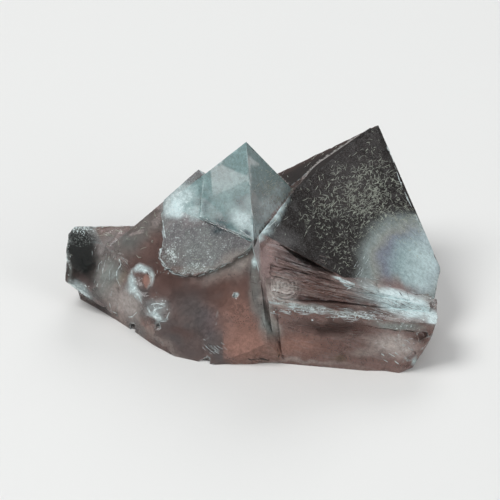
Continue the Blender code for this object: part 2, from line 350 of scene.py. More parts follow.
def halved_edges(points, triangles, finest):
    """Halves every edge that is over its limit and the longest of a triangle beside it, until none is over. A
    triangle with one, two or three halved edges becomes two, three or four, so no gap opens beside it."""
    while True:
        ends = np.sort(triangles[:, SIDES], axis=2)
        keys, which = np.unique(ends[..., 0] * len(points) + ends[..., 1], return_inverse=True)
        which = which.ravel()
        first, second = np.divmod(keys, len(points))
        length = np.linalg.norm(points[first] - points[second], axis=1)
        over = length > edge_limits(points, triangles, which, finest)
        if not over.any():
            return points, triangles
        sides = np.where(over, length, 0.0)[which].reshape(-1, 3)
        chosen = np.zeros(len(keys), bool)
        chosen[which.reshape(-1, 3)[np.arange(len(sides)), sides.argmax(axis=1)]] = True
        long = over & chosen
        number = np.full(len(keys), -1)
        number[long] = len(points) + np.arange(long.sum())
        points = np.concatenate([points, 0.5 * (points[first[long]] + points[second[long]])])
        middle = number[which].reshape(-1, 3)
        halved = middle >= 0
        count = halved.sum(axis=1)
        start = np.where(count == 1, halved.argmax(axis=1), ((~halved).argmax(axis=1) + 1) % 3)
        order = (np.arange(3) + start[:, None]) % 3
        a, b, c = np.take_along_axis(triangles, order, axis=1).T
        ab, bc, ca = np.take_along_axis(middle, order, axis=1).T
        triangles = np.concatenate([triangles[count == 0]] + [
            np.stack(corners, axis=1)[count == halves]
            for halves, corners in (
                (1, (a, ab, c)), (1, (ab, b, c)),
                (2, (ab, b, bc)), (2, (a, ab, bc)), (2, (a, bc, c)),
                (3, (a, ab, ca)), (3, (ab, b, bc)), (3, (ca, bc, c)), (3, (ab, bc, ca)),
            )
        ])


# Places on the surface: points, directions out of it, places in the photographed view, whether they show from
# there, and whether they lie on a sharp edge.
Places = namedtuple("Places", "points out seen facing edge")


class Skin:
    """The crystal group's surface in fine triangles, with what later steps ask about it."""

    def __init__(self, finest):
        self.points, self.triangles = halved_edges(*merged_crystals(), finest)
        corners = self.points[self.triangles]
        crossed = crossed_edges(corners)
        self.face_out = safe_unit(crossed)
        self.middles = corners.mean(axis=1)
        self.out = safe_unit(self.gathered(crossed))
        self.seen = self.points @ FRONT.axes.T
        self.places = Places(self.points, self.out, self.seen, self.front_share(), self.edge_share())

    def gathered(self, per_triangle):
        """Sum over the triangles round each corner point."""
        total = np.zeros((len(self.points), 3))
        for corner, axis in np.ndindex(3, 3):
            total[:, axis] += np.bincount(self.triangles[:, corner], per_triangle[:, axis], len(self.points))
        return total

    def edge_share(self):
        """1 at points on an edge where two faces meet at more than EDGE_TURN, and 0 elsewhere."""
        ends = np.sort(self.triangles[:, SIDES], axis=2).reshape(-1, 2)
        faces = np.repeat(np.arange(len(self.triangles)), 3)
        order = np.lexsort((ends[:, 1], ends[:, 0]))
        ends, faces = ends[order], faces[order]
        same = (ends[1:] == ends[:-1]).all(axis=1)
        across = (self.face_out[faces[1:]] * self.face_out[faces[:-1]]).sum(axis=1)
        sharp = same & (across < math.cos(math.radians(EDGE_TURN)))
        share = np.zeros(len(self.points))
        share[ends[1:][sharp].ravel()] = 1.0
        return share

    def front_share(self):
        """1 at points that show from the photographed side: within FRONT_SLACK of the nearest point in the
        same small square of the view."""
        square = np.floor(self.seen[:, :2] / VIEW_SQUARE).astype(int)
        square -= square.min(axis=0)
        flat = square[:, 0] * (square[:, 1].max() + 1) + square[:, 1]
        nearest = greatest(flat, self.seen[:, 2])
        return step(nearest[flat] - self.seen[:, 2], 1.5 * FRONT_SLACK, FRONT_SLACK)


# Relief of the surface.

# Concentric ripples: middle and reach in the photographed view, ring spacing and height.
Ripples = namedtuple("Ripples", "across up reach spacing height")
RIPPLES = (
    Ripples(-22.2, 4.6, 4.6, 0.62, 0.035),
    Ripples(5.4, 2.6, 3.6, 0.62, 0.09),
)
RIPPLE_WAVER = 2.2
# Unevenness: its random field, and its height on flat crystal faces and on broken ones.
UNEVEN = (("swell", 0.05, 0.42), ("crumple", 0.02, 0.14))
# Heights of the wall's lines below the ledge, how much more they have above it, and the height of frost. The
# depth of edges, and how much more they have where they are worn.
LINES_HEIGHT = 0.1
LINES_HEIGHT_ABOVE = 0.2
FROST_HEIGHT = 0.1
EDGE_DEPTH = 0.02
WORN_DEPTH = 0.2
# The resting face stays flat below, and the relief is whole above.
RESTING_RIM = (0.02, 0.4)
# The way the wall's lines run: so far across for each step up, how long and how deep they are drawn, and how
# much they bend.
LINES_FALL = 0.24
LINES_DRAWN = 9.0
LINES_DEEP = 9.0
LINES_BEND = 2.2
LINES_ALONG = unit(FRONT.across - LINES_FALL * FRONT.up)
LINES_OVER = np.cross(FRONT.toward, LINES_ALONG)
# Where the ledge begins on the left in the view, and how far it falls for each step across.
LEDGE_LEFT = 3.3
LEDGE_LEFT_UP = -1.1
LEDGE_FALL = 0.093
# Where a place stops and starts to count as on a crystal's face, or as on a thin layer and square to it.
ON_FACE = (0.12, 0.05)
LAYER_OFF = (1.4, 1.3)
LAYER_SQUARE = (0.985, 0.995)
# Where the plate ends at the top crystal, as shares of that crystal's reach.
OFF_TOP = (1.03, 1.01)


def crystal_face_share(places):
    """1 at places on a flat crystal face or on a thin layer of it, 0 on broken surfaces."""
    share = np.zeros(len(places.points))
    for crystal in (LARGE, LEFT, TOP):
        own = crystal_axes(places.points - crystal.centre, crystal)
        gap = np.abs((np.abs(own).sum(axis=-1) - crystal.reach) / math.sqrt(3))
        square = (crystal_axes(places.out, crystal) * np.sign(own)).sum(axis=1) / math.sqrt(3)
        share = np.maximum(share, step(gap, *ON_FACE))
        share = np.maximum(share, step(gap, *LAYER_OFF) * step(square, *LAYER_SQUARE))
    proud = places.points @ BROAD_OUT - BROAD_LEVEL
    return np.maximum(share, step(proud, PLATE_PROUD, PLATE_PROUD + 0.3) * plate_share(places))


def plate_side_share(places):
    """1 on the plate's side of its right end and off the top crystal."""
    right = step(places.seen[:, 0], PLATE_RIGHT + 0.2, PLATE_RIGHT - 0.2)
    return right * (1.0 - step(octahedron_reach(places.points, TOP), *OFF_TOP))


def plate_share(places):
    """1 on the growth plate, which stands out of the left crystal's broad face."""
    proud = step(places.points @ BROAD_OUT - BROAD_LEVEL, PLATE_PROUD - 0.1, PLATE_PROUD + 0.1)
    above = step(places.seen[:, 1], PLATE_FOOT - 0.2, PLATE_FOOT + 0.2)
    return proud * above * plate_side_share(places)


def painted_light_rim_share(places):
    """1 on the growth plate's side wall, which falls from the plate to the broad face below it: where painted
    light lifts the wall's shade.
    """
    above = places.points @ BROAD_OUT - BROAD_LEVEL
    between = step(above, -0.1, 0.0) * step(above, PLATE_PROUD + 0.6, PLATE_PROUD + 0.3)
    steep = step(places.out @ BROAD_OUT, 0.92, 0.7)
    foot = step(places.seen[:, 1], PLATE_FOOT - 0.9, PLATE_FOOT - 0.5)
    return between * steep * foot * plate_side_share(places) * places.facing


def wall_share(places):
    """1 on the large crystal's striated wall and foot."""
    return step(places.out @ np.array(LARGE_WALL_OUT), 0.55, 0.8) * step(places.seen[:, 0], 1.5, 3.0)


def above_ledge(seen):
    """1 above the ledge that crosses the wall, 0 on the foot below it."""
    ledge = LEDGE_LEFT_UP - LEDGE_FALL * (seen[:, 0] - LEDGE_LEFT)
    return step(seen[:, 1] - ledge, -0.8, 0.4)


def wall_streaks(points):
    """Lines that run down to the right along the wall and foot: noise drawn out along them."""
    bent = (noise(points, "line bends") - 0.5) * LINES_BEND
    drawn = np.stack([
        points @ LINES_ALONG / LINES_DRAWN,
        points @ LINES_OVER + bent,
        points @ FRONT.toward / LINES_DEEP,
    ], axis=1)
    return noise(drawn, "wall lines")


def relief(places):
    """How far each place moves out along its normal, in millimetres."""
    points = places.points
    flat = crystal_face_share(places)
    wall = wall_share(places)
    rough = (1.0 - flat) * (1.0 - 0.6 * wall)
    height = np.zeros(len(points))
    for name, on_flat, on_rough in UNEVEN:
        height += (noise(points, name) - 0.5) * (on_flat * flat + on_rough * rough)
    for ring in RIPPLES:
        apart = np.hypot(places.seen[:, 0] - ring.across, places.seen[:, 1] - ring.up)
        waver = RIPPLE_WAVER * noise(points, "ripple waver")
        share = step(apart, ring.reach, 0.6 * ring.reach) * places.facing
        height += share * ring.height * np.sin(2 * math.pi * apart / ring.spacing + waver)
    lines_height = LINES_HEIGHT + LINES_HEIGHT_ABOVE * above_ledge(places.seen)
    height += wall * lines_height * (wall_streaks(points) - 0.5)
    frosted = step(noise(points, "frosted plate"), 0.42, 0.7) * plate_share(places)
    height += frosted * FROST_HEIGHT * (noise(points, "plate grain") - 0.4)
    worn = step(noise(points, "worn edges"), 0.5, 0.8)
    height -= places.edge * (EDGE_DEPTH + WORN_DEPTH * worn)
    return height * step(points[:, 2], *RESTING_RIM)


# Colour of the surface.

# A patch of colour in the photographed view: middle and half size in millimetres, turn in degrees against
# the clock, share of its half size over which it fades, colour, strength, milkiness, roughness, how frosted
# it is, and where it is cut off on the left.
Patch = namedtuple(
    "Patch",
    "name across up half_across half_up turn fade colour strength milk rough frost left",
    defaults=(0.0, -math.inf),
)
PATCHES = tuple(Patch(*row) for row in (
    # Left crystal, from its upper left edge down to the resting face.
    ("cool upper edge", -16.5, 12.9, 5.6, 2.5, 38, 0.9, "mist", 0.5, 0.62, 0.25),
    ("red-brown depth", -15.2, 6.1, 4.3, 3.8, 0, 0.9, "rose_brown", 0.6, 0.55, 0.25),
    ("grey left shoulder", -21.8, 9.8, 4.5, 2.8, 0, 0.9, "mist", 0.55, 0.55, 0.3),
    ("pale left swirl", -24.0, 4.3, 2.8, 5.1, -10, 0.8, "mist", 0.8, 0.75, 0.35, 0.1),
    ("brown stain", -21.8, 3.8, 1.0, 2.0, -15, 0.7, "straw", 0.5, 0.75, 0.4, 0.15),
    ("beige lower flank", -21.2, -0.3, 4.3, 3.0, -36, 0.8, "pale_rose", 0.75, 0.72, 0.4, 0.15),
    ("orange streak", -17.5, -4.3, 0.8, 2.3, 25, 0.9, "salmon", 0.6, 0.7, 0.3),
    ("smoky middle", -10.3, -0.8, 5.0, 3.6, -15, 0.9, "smoke", 0.7, 0.5, 0.25),
    ("red-brown under the plate", -9.3, 1.5, 5.6, 1.8, 5, 0.9, "rose_brown", 0.25, 0.5, 0.25),
    ("brown lower flank", -11.9, -5.3, 3.6, 1.3, -20, 0.8, "rose_brown", 0.6, 0.6, 0.25),
    ("beige foot", -13.2, -7.9, 5.0, 1.5, -20, 0.8, "rose_brown", 0.3, 0.72, 0.4, 0.1),
    # Partly painted light: the crystal's own pale band under the plate, laid strong to lift the shade under
    # the plate's rim.
    ("pale rose and painted light under the plate", -5.5, 4.3, 5.0, 1.8, 10, 0.9, "pearl", 0.6, 0.75, 0.25),
    ("pale band and painted light below the plate", -2.7, 6.6, 4.0, 2.1, 24, 0.7, "pearl", 0.95, 0.65, 0.3),
    ("warm right part", -3.0, 1.2, 3.6, 4.0, 0, 0.9, "salmon", 0.35, 0.6, 0.25),
    ("cool strip", -7.3, -3.8, 2.3, 3.5, 10, 0.9, "violet_grey", 0.5, 0.6, 0.3),
    ("warm heart", -2.0, -3.5, 4.6, 5.6, 0, 0.9, "salmon", 0.6, 0.72, 0.25),
    ("salmon heart", -1.0, -7.4, 5.9, 4.0, 0, 0.7, "salmon", 0.95, 0.72, 0.25, 0.0, -4.9),
    # Painted reflection: a pale sheen of light reflected inside the crystal along its lower edge.
    ("painted sheen along the lower edge", -14.2, -7.2, 7.3, 0.8, -33, 0.8, "pearl", 0.35, 0.75, 0.4, 0.15),
    ("crack hook left", -20.0, 2.8, 0.9, 2.0, 6, 0.7, "ice", 0.9, 0.85, 0.5, 0.55),
    ("crack hook top", -18.5, 5.3, 1.8, 0.8, 0, 0.7, "frost", 0.9, 0.85, 0.5, 0.55),
    ("crack hook right", -16.7, 4.0, 0.6, 1.5, -8, 0.7, "ice", 0.8, 0.85, 0.5, 0.55),
    ("pink spot", -17.4, 3.5, 0.9, 1.0, 0, 0.5, "salmon", 0.9, 0.75, 0.3),
    ("crack neck", -19.0, 1.0, 0.9, 1.8, 28, 0.8, "ice", 0.5, 0.85, 0.5, 0.55),
    ("crack cloud", -15.5, -1.3, 2.3, 2.1, 0, 0.8, "ice", 0.45, 0.85, 0.5, 0.5),
    ("crack cloud's bright foot", -16.0, -2.6, 1.5, 0.7, -15, 0.7, "ice", 0.75, 0.9, 0.5, 0.55),
    ("small bright spot", -2.7, 0.8, 0.5, 0.6, 0, 0.5, "ice", 0.8, 0.9, 0.5, 0.6),
    # Growth plate.
    ("pale plate middle", -8.6, 8.4, 5.6, 3.3, 10, 0.9, "mist", 0.45, 0.8, 0.4, 0.25),
    ("bright plate top", -11.9, 17.2, 3.8, 2.3, 38, 0.7, "ice", 0.85, 0.9, 0.45, 0.45),
    ("bright plate lobe", -12.6, 15.0, 2.3, 1.3, 0, 0.7, "frost", 0.85, 0.95, 0.45, 0.5),
    ("plate cloud", -9.4, 14.7, 1.7, 1.8, 0, 0.7, "ice", 0.75, 0.85, 0.45, 0.35),
    ("plate notch", -7.3, 15.9, 0.8, 2.1, -15, 0.6, "slate", 0.5, 0.8, 0.3),
    ("plate window", -5.2, 12.6, 2.8, 1.7, 30, 0.8, "slate", 0.65, 0.55, 0.3, 0.1),
    ("plate shadow line", -5.5, 11.7, 1.7, 0.3, 22, 0.6, "slate", 0.8, 0.5, 0.3),
    ("frosted plate corner", -13.7, 7.3, 1.5, 2.1, 0, 0.7, "mist", 0.5, 0.9, 0.55, 0.8),
    ("frosted plate foot", -9.6, 5.0, 4.3, 1.2, 0, 0.8, "mist", 0.8, 0.9, 0.5, 0.5),
    # Top crystal.
    ("pale left face", -4.7, 20.6, 4.3, 4.0, -40, 0.9, "ice", 0.08, 0.6, 0.25),
    ("greyer upper left face", -5.2, 21.5, 2.6, 2.0, -40, 0.9, "smoke", 0.25, 0.6, 0.25),
    # Painted highlight on the top crystal's lower face.
    ("painted highlight on the top crystal's foot", -1.5, 13.5, 2.5, 1.7, -38, 0.8, "ice", 0.9, 0.85, 0.4, 0.3),
    ("blue smudge", -1.9, 16.4, 1.3, 1.2, 0, 0.8, "slate", 0.5, 0.6, 0.3, 0.1),
    ("dark triangle", -1.2, 11.4, 1.0, 0.5, -40, 0.5, "slate", 0.9, 0.8, 0.25),
    # Painted light: the top crystal's right face turns away from the lamps, so its right edge, right foot and
    # lowest corner are painted bright.
    ("painted light on the top crystal's right edge", 2.9, 15.0, 5.1, 2.3, 56, 0.8, "frost", 1.0, 0.85, 0.4, 0.3),
    ("painted light on the right foot", 1.8, 12.6, 2.1, 0.7, 52, 0.8, "frost", 0.85, 0.9, 0.45, 0.4),
    ("painted light on the lowest corner", 0.6, 11.2, 1.2, 1.5, 0, 0.6, "frost", 0.9, 0.95, 0.5, 0.5),
    # Large crystal's front face and veil.
    ("smooth lower corner", 4.7, 10.2, 3.3, 2.0, -10, 0.9, "smoke", 0.65, 0.7, 0.3),
    ("paler middle of the face", 16.1, 19.2, 5.6, 5.6, 0, 0.9, "smoke", 0.1, 0.93, 0.3),
    ("dark streak", 8.5, 12.7, 1.2, 0.3, -5, 0.7, "night_and_painted_dark", 0.8, 0.7, 0.2),
    ("dark band before the veil", 15.1, 6.4, 2.3, 5.0, 5, 0.9, "night_and_painted_dark", 0.3, 0.85, 0.2),
    # Painted shadow: the shade in the notch under the front face's lower edge.
    ("painted shadow in the wedge", 8.2, 6.3, 6.1, 1.6, -27, 0.6, "night_and_painted_dark", 0.95, 0.92, 0.35),
    ("veil haze", 24.7, 6.4, 8.4, 8.7, 0, 0.35, "mist", 0.6, 0.85, 0.3, 0.1),
    ("veil's pale rim", 24.9, 6.4, 7.9, 8.4, 0, 0.3, "ice", 0.3, 0.9, 0.35, 0.1),
    ("veil's yellow ring", 25.5, 6.3, 6.8, 7.1, 0, 0.25, "straw", 0.45, 0.85, 0.35),
    ("veil's violet ring", 26.0, 6.3, 6.1, 6.1, 0, 0.3, "iris", 0.75, 0.85, 0.35),
    ("veil's green middle", 26.5, 6.1, 4.5, 5.1, 0, 0.6, "sage", 0.7, 0.85, 0.35, 0.1),
    ("veil", 27.8, 6.1, 4.8, 7.3, -12, 0.9, "ice", 0.65, 0.9, 0.35, 0.2),
    ("veil's brown shadow", 23.6, 3.6, 1.7, 1.0, -30, 0.9, "straw", 0.35, 0.85, 0.35),
    ("bright right edge", 29.5, 6.4, 1.7, 5.0, 14, 0.9, "ice", 0.6, 0.95, 0.4, 0.35),
    ("bright lower veil", 27.7, 2.8, 2.3, 1.3, -20, 0.9, "ice", 0.5, 0.9, 0.4, 0.3),
    ("brown lower right", 23.9, 2.2, 4.5, 1.5, -18, 0.9, "rose", 0.8, 0.85, 0.4),
    ("pale wall beside the veil", 17.8, 1.5, 2.8, 2.5, -15, 0.8, "ice", 0.35, 0.9, 0.35, 0.3),
    # Painted highlight: a white glint below the front face.
    ("painted white highlight", 15.3, 3.3, 2.0, 0.3, -21, 0.5, "frost", 0.95, 0.95, 0.3, 0.6),
    # Seam between the crystals.
    ("seam", 0.6, 2.8, 1.3, 5.9, 0, 0.7, "mist", 0.6, 0.75, 0.4, 0.2),
    ("seam foot", 2.8, -4.4, 1.7, 5.3, 14, 0.8, "mist", 0.85, 0.75, 0.4, 0.15),
    # Painted light: pale laid into the seam's deep crease to lift its shade.
    ("painted light in the seam crevice", 3.6, -3.9, 1.0, 4.5, 19, 0.8, "pearl", 0.6, 0.9, 0.4, 0.2),
    ("seam bright patch", 0.6, 6.6, 0.5, 1.2, 5, 0.6, "ice", 0.85, 0.9, 0.4, 0.5),
    ("seam stain", 4.4, -8.4, 0.5, 1.0, 0, 0.8, "stain", 0.85, 0.9, 0.5, 0.1),
    # Wall, ledge and foot of the large crystal.
    ("dark upper wall", 8.4, 4.8, 5.9, 1.7, -22, 0.9, "umber", 0.75, 0.6, 0.3),
    ("pale swirl", 4.6, 1.7, 3.3, 3.0, 0, 0.7, "pale_rose", 1.0, 0.8, 0.35, 0.3),
    ("pale lower swirl", 5.4, -0.2, 4.3, 1.3, -8, 0.8, "pale_rose", 0.95, 0.85, 0.35, 0.3),
    ("brown wall middle", 12.0, 1.7, 5.6, 2.3, -14, 0.9, "rose_brown", 0.95, 0.8, 0.3),
    ("ledge left", 7.9, -0.8, 5.3, 0.7, -7, 0.8, "mist", 0.8, 0.9, 0.4, 0.5),
    ("ledge middle", 15.5, -2.0, 5.0, 0.7, -6, 0.8, "mist", 0.6, 0.9, 0.4, 0.55),
    ("ledge right", 24.7, -0.6, 6.6, 2.1, -17, 0.6, "frost", 0.95, 0.95, 0.4, 0.5),
    ("ledge corner", 29.3, -2.5, 1.5, 1.3, -20, 0.6, "frost", 0.7, 0.95, 0.45, 0.6),
    ("lip lumps", 23.7, -3.9, 5.3, 0.8, -3, 0.7, "mist", 0.85, 0.85, 0.4, 0.35),
    ("rose foot", 9.9, -7.1, 10.6, 3.3, -2, 0.8, "rose_brown", 0.42, 0.72, 0.35),
    ("warm foot", 5.9, -7.4, 7.9, 2.5, 0, 0.9, "salmon", 0.85, 0.72, 0.35),
    ("dark under the ledge", 13.2, -4.1, 7.6, 1.5, -4, 0.8, "umber", 0.95, 0.65, 0.3),
    ("pale rose clump", 22.9, -7.2, 4.6, 2.5, -8, 0.8, "pale_rose", 0.8, 0.88, 0.4, 0.25),
    ("dark red notch", 27.2, -5.9, 1.5, 1.0, 0, 0.9, "umber", 0.45, 0.7, 0.3),
    ("foot stain", 14.5, -9.4, 1.5, 0.7, 0, 0.8, "stain", 0.55, 0.85, 0.5, 0.1),
    ("pale foot at the right", 18.1, -8.4, 2.8, 1.0, 0, 0.8, "pearl", 0.5, 0.85, 0.4, 0.1),
    ("pale foot edge", 7.9, -9.9, 8.2, 0.5, -1, 0.8, "pearl", 0.5, 0.85, 0.4, 0.2),
    ("white foot edge", 26.4, -9.7, 0.8, 0.7, 0, 0.7, "ice", 0.8, 0.9, 0.5, 0.5),
    # Clear lump at the left end.
    ("clear lump", -28.3, 7.8, 4.0, 6.3, 8, 0.6, "bottle", 0.97, 0.95, 0.08),
    ("lump frosted top", -28.4, 11.9, 3.1, 0.8, -8, 0.8, "mist", 0.55, 0.8, 0.5, 0.75),
    ("lump's grey-green right", -23.8, 9.4, 2.0, 2.3, 20, 0.9, "smoke", 0.5, 0.6, 0.3, 0.1),
    ("lump left edge", -30.6, 6.4, 0.5, 5.6, 0, 0.8, "mist", 0.4, 0.7, 0.4, 0.55),
    ("lump bright lower edge", -28.7, 1.8, 3.1, 0.8, -36, 0.8, "ice", 0.55, 0.9, 0.45, 0.5),
))

# Milkiness, roughness and frost of the finishes under the markings.
PLAIN_LOOK = (0.5, 0.2, 0.0)
FRONT_FACE_LOOK = (0.95, 0.25, 0.0)
DARK_FACE_LOOK = (0.97, 0.95, 0.0)
PLATE_LOOK = (0.75, 0.35, 0.3)
TOP_LOOK = (0.6, 0.22, 0.0)
BROKEN_LOOK = (0.7, 0.45, 0.3)
EDGE_LOOK = (0.85, 0.4, 0.5)
WALL_LOOK = (0.65, 0.3, 0.0)
# The plate's rim: painted light, pale and milky over the wall's shade.
PAINTED_LIGHT_RIM_LOOK = (0.95, 0.5, 0.5)
LUMP_LOOK = (0.85, 0.1, 0.0)
VEIL_LOOK = (0.75, 0.3, 0.15)
FROSTED_LOOK = (0.85, 0.4, 0.5)
# Washes over all of it: random field, where it begins and where it is full, strength and colour.
WASHES = (
    ("clouds", 0.5, 0.72, 0.7, "smoke"),
    ("clouds", 0.48, 0.3, 0.6, "rose_brown"),
    ("mottle", 0.5, 0.75, 0.35, "smoke"),
    ("mottle", 0.46, 0.25, 0.3, "umber"),
)
# Washes on the sides that aren't shown, each with its look, and how pale and how clear those sides are.
WASHES_BEHIND = (
    ("veils behind", 0.56, 0.72, 0.5, "mist", VEIL_LOOK),
    ("frost behind", 0.66, 0.76, 0.6, "mist", FROSTED_LOOK),
)
PALER_BEHIND = 0.55
CLEARER_BEHIND = 0.45
# Where the painted dark of the large crystal's upper left face starts to grow paler along the view, and where
# it is palest.
DARK_FACE_NEAR = 0.0
DARK_FACE_FAR = -14.0
# Where the large crystal and the top crystal end, as shares of their reach.
LARGE_END = (1.015, 1.008)
TOP_END = (1.02, 1.01)
# The clear lump at the left end: middle and half size.
LUMP_MIDDLE = np.array((-27.8, -1.2, 8.6))
LUMP_HALF = np.array((5.2, 6.0, 6.8))
# How far across the large crystal's apex lies. Left of it the crystal's edges are dark, right of it chipped.
LARGE_APEX = 22.4
# How far the markings' outlines waver, from one side to the other.
MARKS_WAVER = 2.0
# How much of the plate's specks the large crystal's front face has, and the markings with pale drawn lines.
SPECKED_FACE = 0.35
FIBROUS = (
    "ledge left", "ledge middle", "ledge right", "ledge corner", "bright lower veil", "pale lower swirl",
)


def patch_share(seen, patch):
    """1 inside an ellipse of the view, fading to 0 at its rim."""
    turn = math.radians(patch.turn)
    across = seen[:, 0] - patch.across
    up = seen[:, 1] - patch.up
    along = (math.cos(turn) * across + math.sin(turn) * up) / patch.half_across
    over = (math.cos(turn) * up - math.sin(turn) * across) / patch.half_up
    return step(np.hypot(along, over), 1.0 + 0.3 * patch.fade, 1.0 - patch.fade)


class Paint:
    """Colour, look and grain at every corner of every triangle. Look is milkiness, roughness and frost; grain
    is the share of fine drawn lines, of pale specks and of pale drawn lines."""

    def __init__(self, skin, colour, look):
        self.skin = skin
        self.colour = np.broadcast_to(colour, (*skin.triangles.shape, 3)).copy()
        self.look = np.broadcast_to(look, (*skin.triangles.shape, 3)).copy()
        self.grain = np.zeros((*skin.triangles.shape, 3))

    def at_corners(self, share):
        """A share given per point, per triangle or per corner, as one per corner."""
        if share.ndim == 1:
            share = share[self.skin.triangles] if len(share) == len(self.skin.points) else share[:, None]
        return np.broadcast_to(share, self.skin.triangles.shape)[..., None]

    def lay(self, share, colour, look=None):
        """Lays a colour over what is there."""
        share = self.at_corners(share)
        self.colour += share * (np.asarray(colour) - self.colour)
        if look is not None:
            self.look += share * (np.asarray(look) - self.look)

    def store(self, mesh):
        """Keeps all three with the mesh, as colours of its corners."""
        for name, values in (("tint", self.colour), ("look", self.look), ("grain", self.grain)):
            whole = np.concatenate([values, np.ones((*values.shape[:2], 1))], axis=2)
            attribute = mesh.color_attributes.new(name=name, type="FLOAT_COLOR", domain="CORNER")
            attribute.data.foreach_set("color", whole.astype(np.float32).ravel())


def facing_share(skin, outward, low=0.93, high=0.985):
    """1 on triangles that face along outward: the cosine between the two goes from low to high."""
    return step(skin.face_out @ np.array(outward), low, high)


def paint_crystals(paint, skin, tones):
    """The large crystal's faces, the front and upper left ones laid dark as painted shade over their smoky
    tone, and the top crystal.
    """
    in_large = step(octahedron_reach(skin.middles, LARGE), *LARGE_END)
    front = facing_share(skin, LARGE_FRONT_OUT) * in_large
    upper_left = facing_share(skin, LARGE_UPPER_LEFT_OUT) * in_large
    far = step(skin.middles @ FRONT.toward, DARK_FACE_NEAR, DARK_FACE_FAR)
    clouded = paint.at_corners(front)[..., 0] * step(noise(skin.points, "fine"), 0.45, 0.85)[skin.triangles]
    paint.lay(in_large * 0.35, tones["rose_brown"])
    # Painted shade over the smoky tone: the front and upper left faces are laid dark and milky, standing in
    # for dark surroundings seen through the clear crystal.
    paint.lay(front, tones["dusk"], FRONT_FACE_LOOK)
    paint.lay(upper_left, tones["night_and_painted_dark"], DARK_FACE_LOOK)
    paint.lay(upper_left * far * 0.4, tones["rose"])
    paint.lay(clouded * 0.2, tones["smoke"])
    in_top = step(octahedron_reach(skin.middles, TOP), *TOP_END)
    paint.lay(in_top, tones["sage"], TOP_LOOK)
    paint.lay(in_top * facing_share(skin, TOP_RIGHT_OUT, 0.6, 0.9) * 0.25, tones["smoke"])
    return front


def paint_layers(paint, skin, tones):
    """The growth plate with painted light on its shaded rim, the wall with its drawn lines, and the broken
    surfaces.
    """
    places = skin.places
    plate = plate_share(places)
    paint.lay(plate * 0.9, tones["mauve"], PLATE_LOOK)
    paint.lay(plate * step(noise(skin.points, "fine"), 0.5, 0.75) * 0.4, tones["mist"])
    # Painted light: the plate's side wall faces down, away from the lamps, and is painted pale ice to lift
    # its shade.
    paint.lay(painted_light_rim_share(places) * 0.9, tones["ice"], PAINTED_LIGHT_RIM_LOOK)
    wall = wall_share(places)
    streaks = wall_streaks(skin.points)
    drawn = wall * (0.25 + 0.5 * above_ledge(skin.seen))
    paint.lay(wall, tones["rose"], WALL_LOOK)
    paint.lay(drawn * step(streaks, 0.52, 0.72), tones["pearl"])
    paint.lay(drawn * step(streaks, 0.46, 0.3), tones["rose_brown"])
    rough = (1.0 - crystal_face_share(places)) * (1.0 - wall)
    paint.lay(rough * step(noise(skin.points, "broken"), 0.45, 0.75) * 0.45, tones["pearl"], BROKEN_LOOK)
    return plate, drawn


def paint_edges(paint, skin, tones):
    """Worn edges, but for the large crystal's edges left of its apex, and the clear lump."""
    across, up = skin.seen[:, 0], skin.seen[:, 1]
    left_of_apex = step(across, LARGE_APEX, LARGE_APEX - 1.0) * step(across, 1.0, 2.0)
    dull = crystal_face_share(skin.places) * step(up, 1.0, 3.0) * left_of_apex
    worn = skin.places.edge * step(noise(skin.points, "fine"), 0.42, 0.66) * (1.0 - 0.9 * dull)
    paint.lay(worn * 0.5, tones["ice"], EDGE_LOOK)
    lump = step(np.linalg.norm((skin.points - LUMP_MIDDLE) / LUMP_HALF, axis=1), 1.15, 0.7)
    paint.lay(lump * 0.65, tones["bottle"], LUMP_LOOK)


def crystal_paint(skin, tones):
    """The crystals' own colours, then veils behind, then the markings of the photographed side."""
    points = skin.points
    facing = skin.places.facing
    paint = Paint(skin, tones["rose"], PLAIN_LOOK)
    for name, low, high, strength, colour in WASHES:
        paint.lay(step(noise(points, name), low, high) * strength, tones[colour])
    front = paint_crystals(paint, skin, tones)
    plate, drawn = paint_layers(paint, skin, tones)
    behind = 1.0 - facing
    paint.lay(behind * PALER_BEHIND, tones["pale_rose"])
    paint.look[..., 0] *= 1.0 - CLEARER_BEHIND * paint.at_corners(behind)[..., 0]
    for name, low, high, strength, colour, look in WASHES_BEHIND:
        paint.lay(step(noise(points, name), low, high) * behind * strength, tones[colour], look)
    paint_edges(paint, skin, tones)

    # Markings follow a slightly wavering copy of the view.
    waver = np.stack([noise(points, name) - 0.5 for name in ("waver across", "waver up")], axis=1)
    ragged = skin.seen[:, :2] + MARKS_WAVER * waver
    straight_on = step(skin.face_out @ FRONT.toward, 0.05, 0.3)[:, None]
    for mark in PATCHES:
        share = patch_share(ragged, mark) * facing * mark.strength
        if mark.left > -math.inf:
            share = share * step(skin.seen[:, 0], mark.left - 0.1, mark.left + 0.2)
        look = (mark.milk, mark.rough, mark.frost)
        paint.lay(share[skin.triangles] * straight_on, tones[mark.colour], look)

    bright_ledge = sum(patch_share(ragged, mark) for mark in PATCHES if mark.name in FIBROUS) * facing
    paint.grain[..., 0] = drawn[skin.triangles]
    paint.grain[..., 1] = np.maximum(plate[skin.triangles], SPECKED_FACE * front[:, None])
    paint.grain[..., 2] = np.clip(bright_ledge, 0.0, 1.0)[skin.triangles] * straight_on
    return paint


# Shader sums.


def sums(operation, swapped=False):
    """The method for one of Python's sums on a Value, or for its form with the Value on the right."""
    def made(self, other):
        return self.net.math(operation, *((other, self) if swapped else (self, other)))
    return made


class Value:
    """A number in a shader. Python's own sums on it add Math nodes."""

    def __init__(self, net, socket):
        self.net = net
        self.socket = socket

    __add__ = sums("ADD")
    __radd__ = sums("ADD", True)
    __sub__ = sums("SUBTRACT")
    __rsub__ = sums("SUBTRACT", True)
    __mul__ = sums("MULTIPLY")
    __rmul__ = sums("MULTIPLY", True)
    __truediv__ = sums("DIVIDE")
    __rtruediv__ = sums("DIVIDE", True)


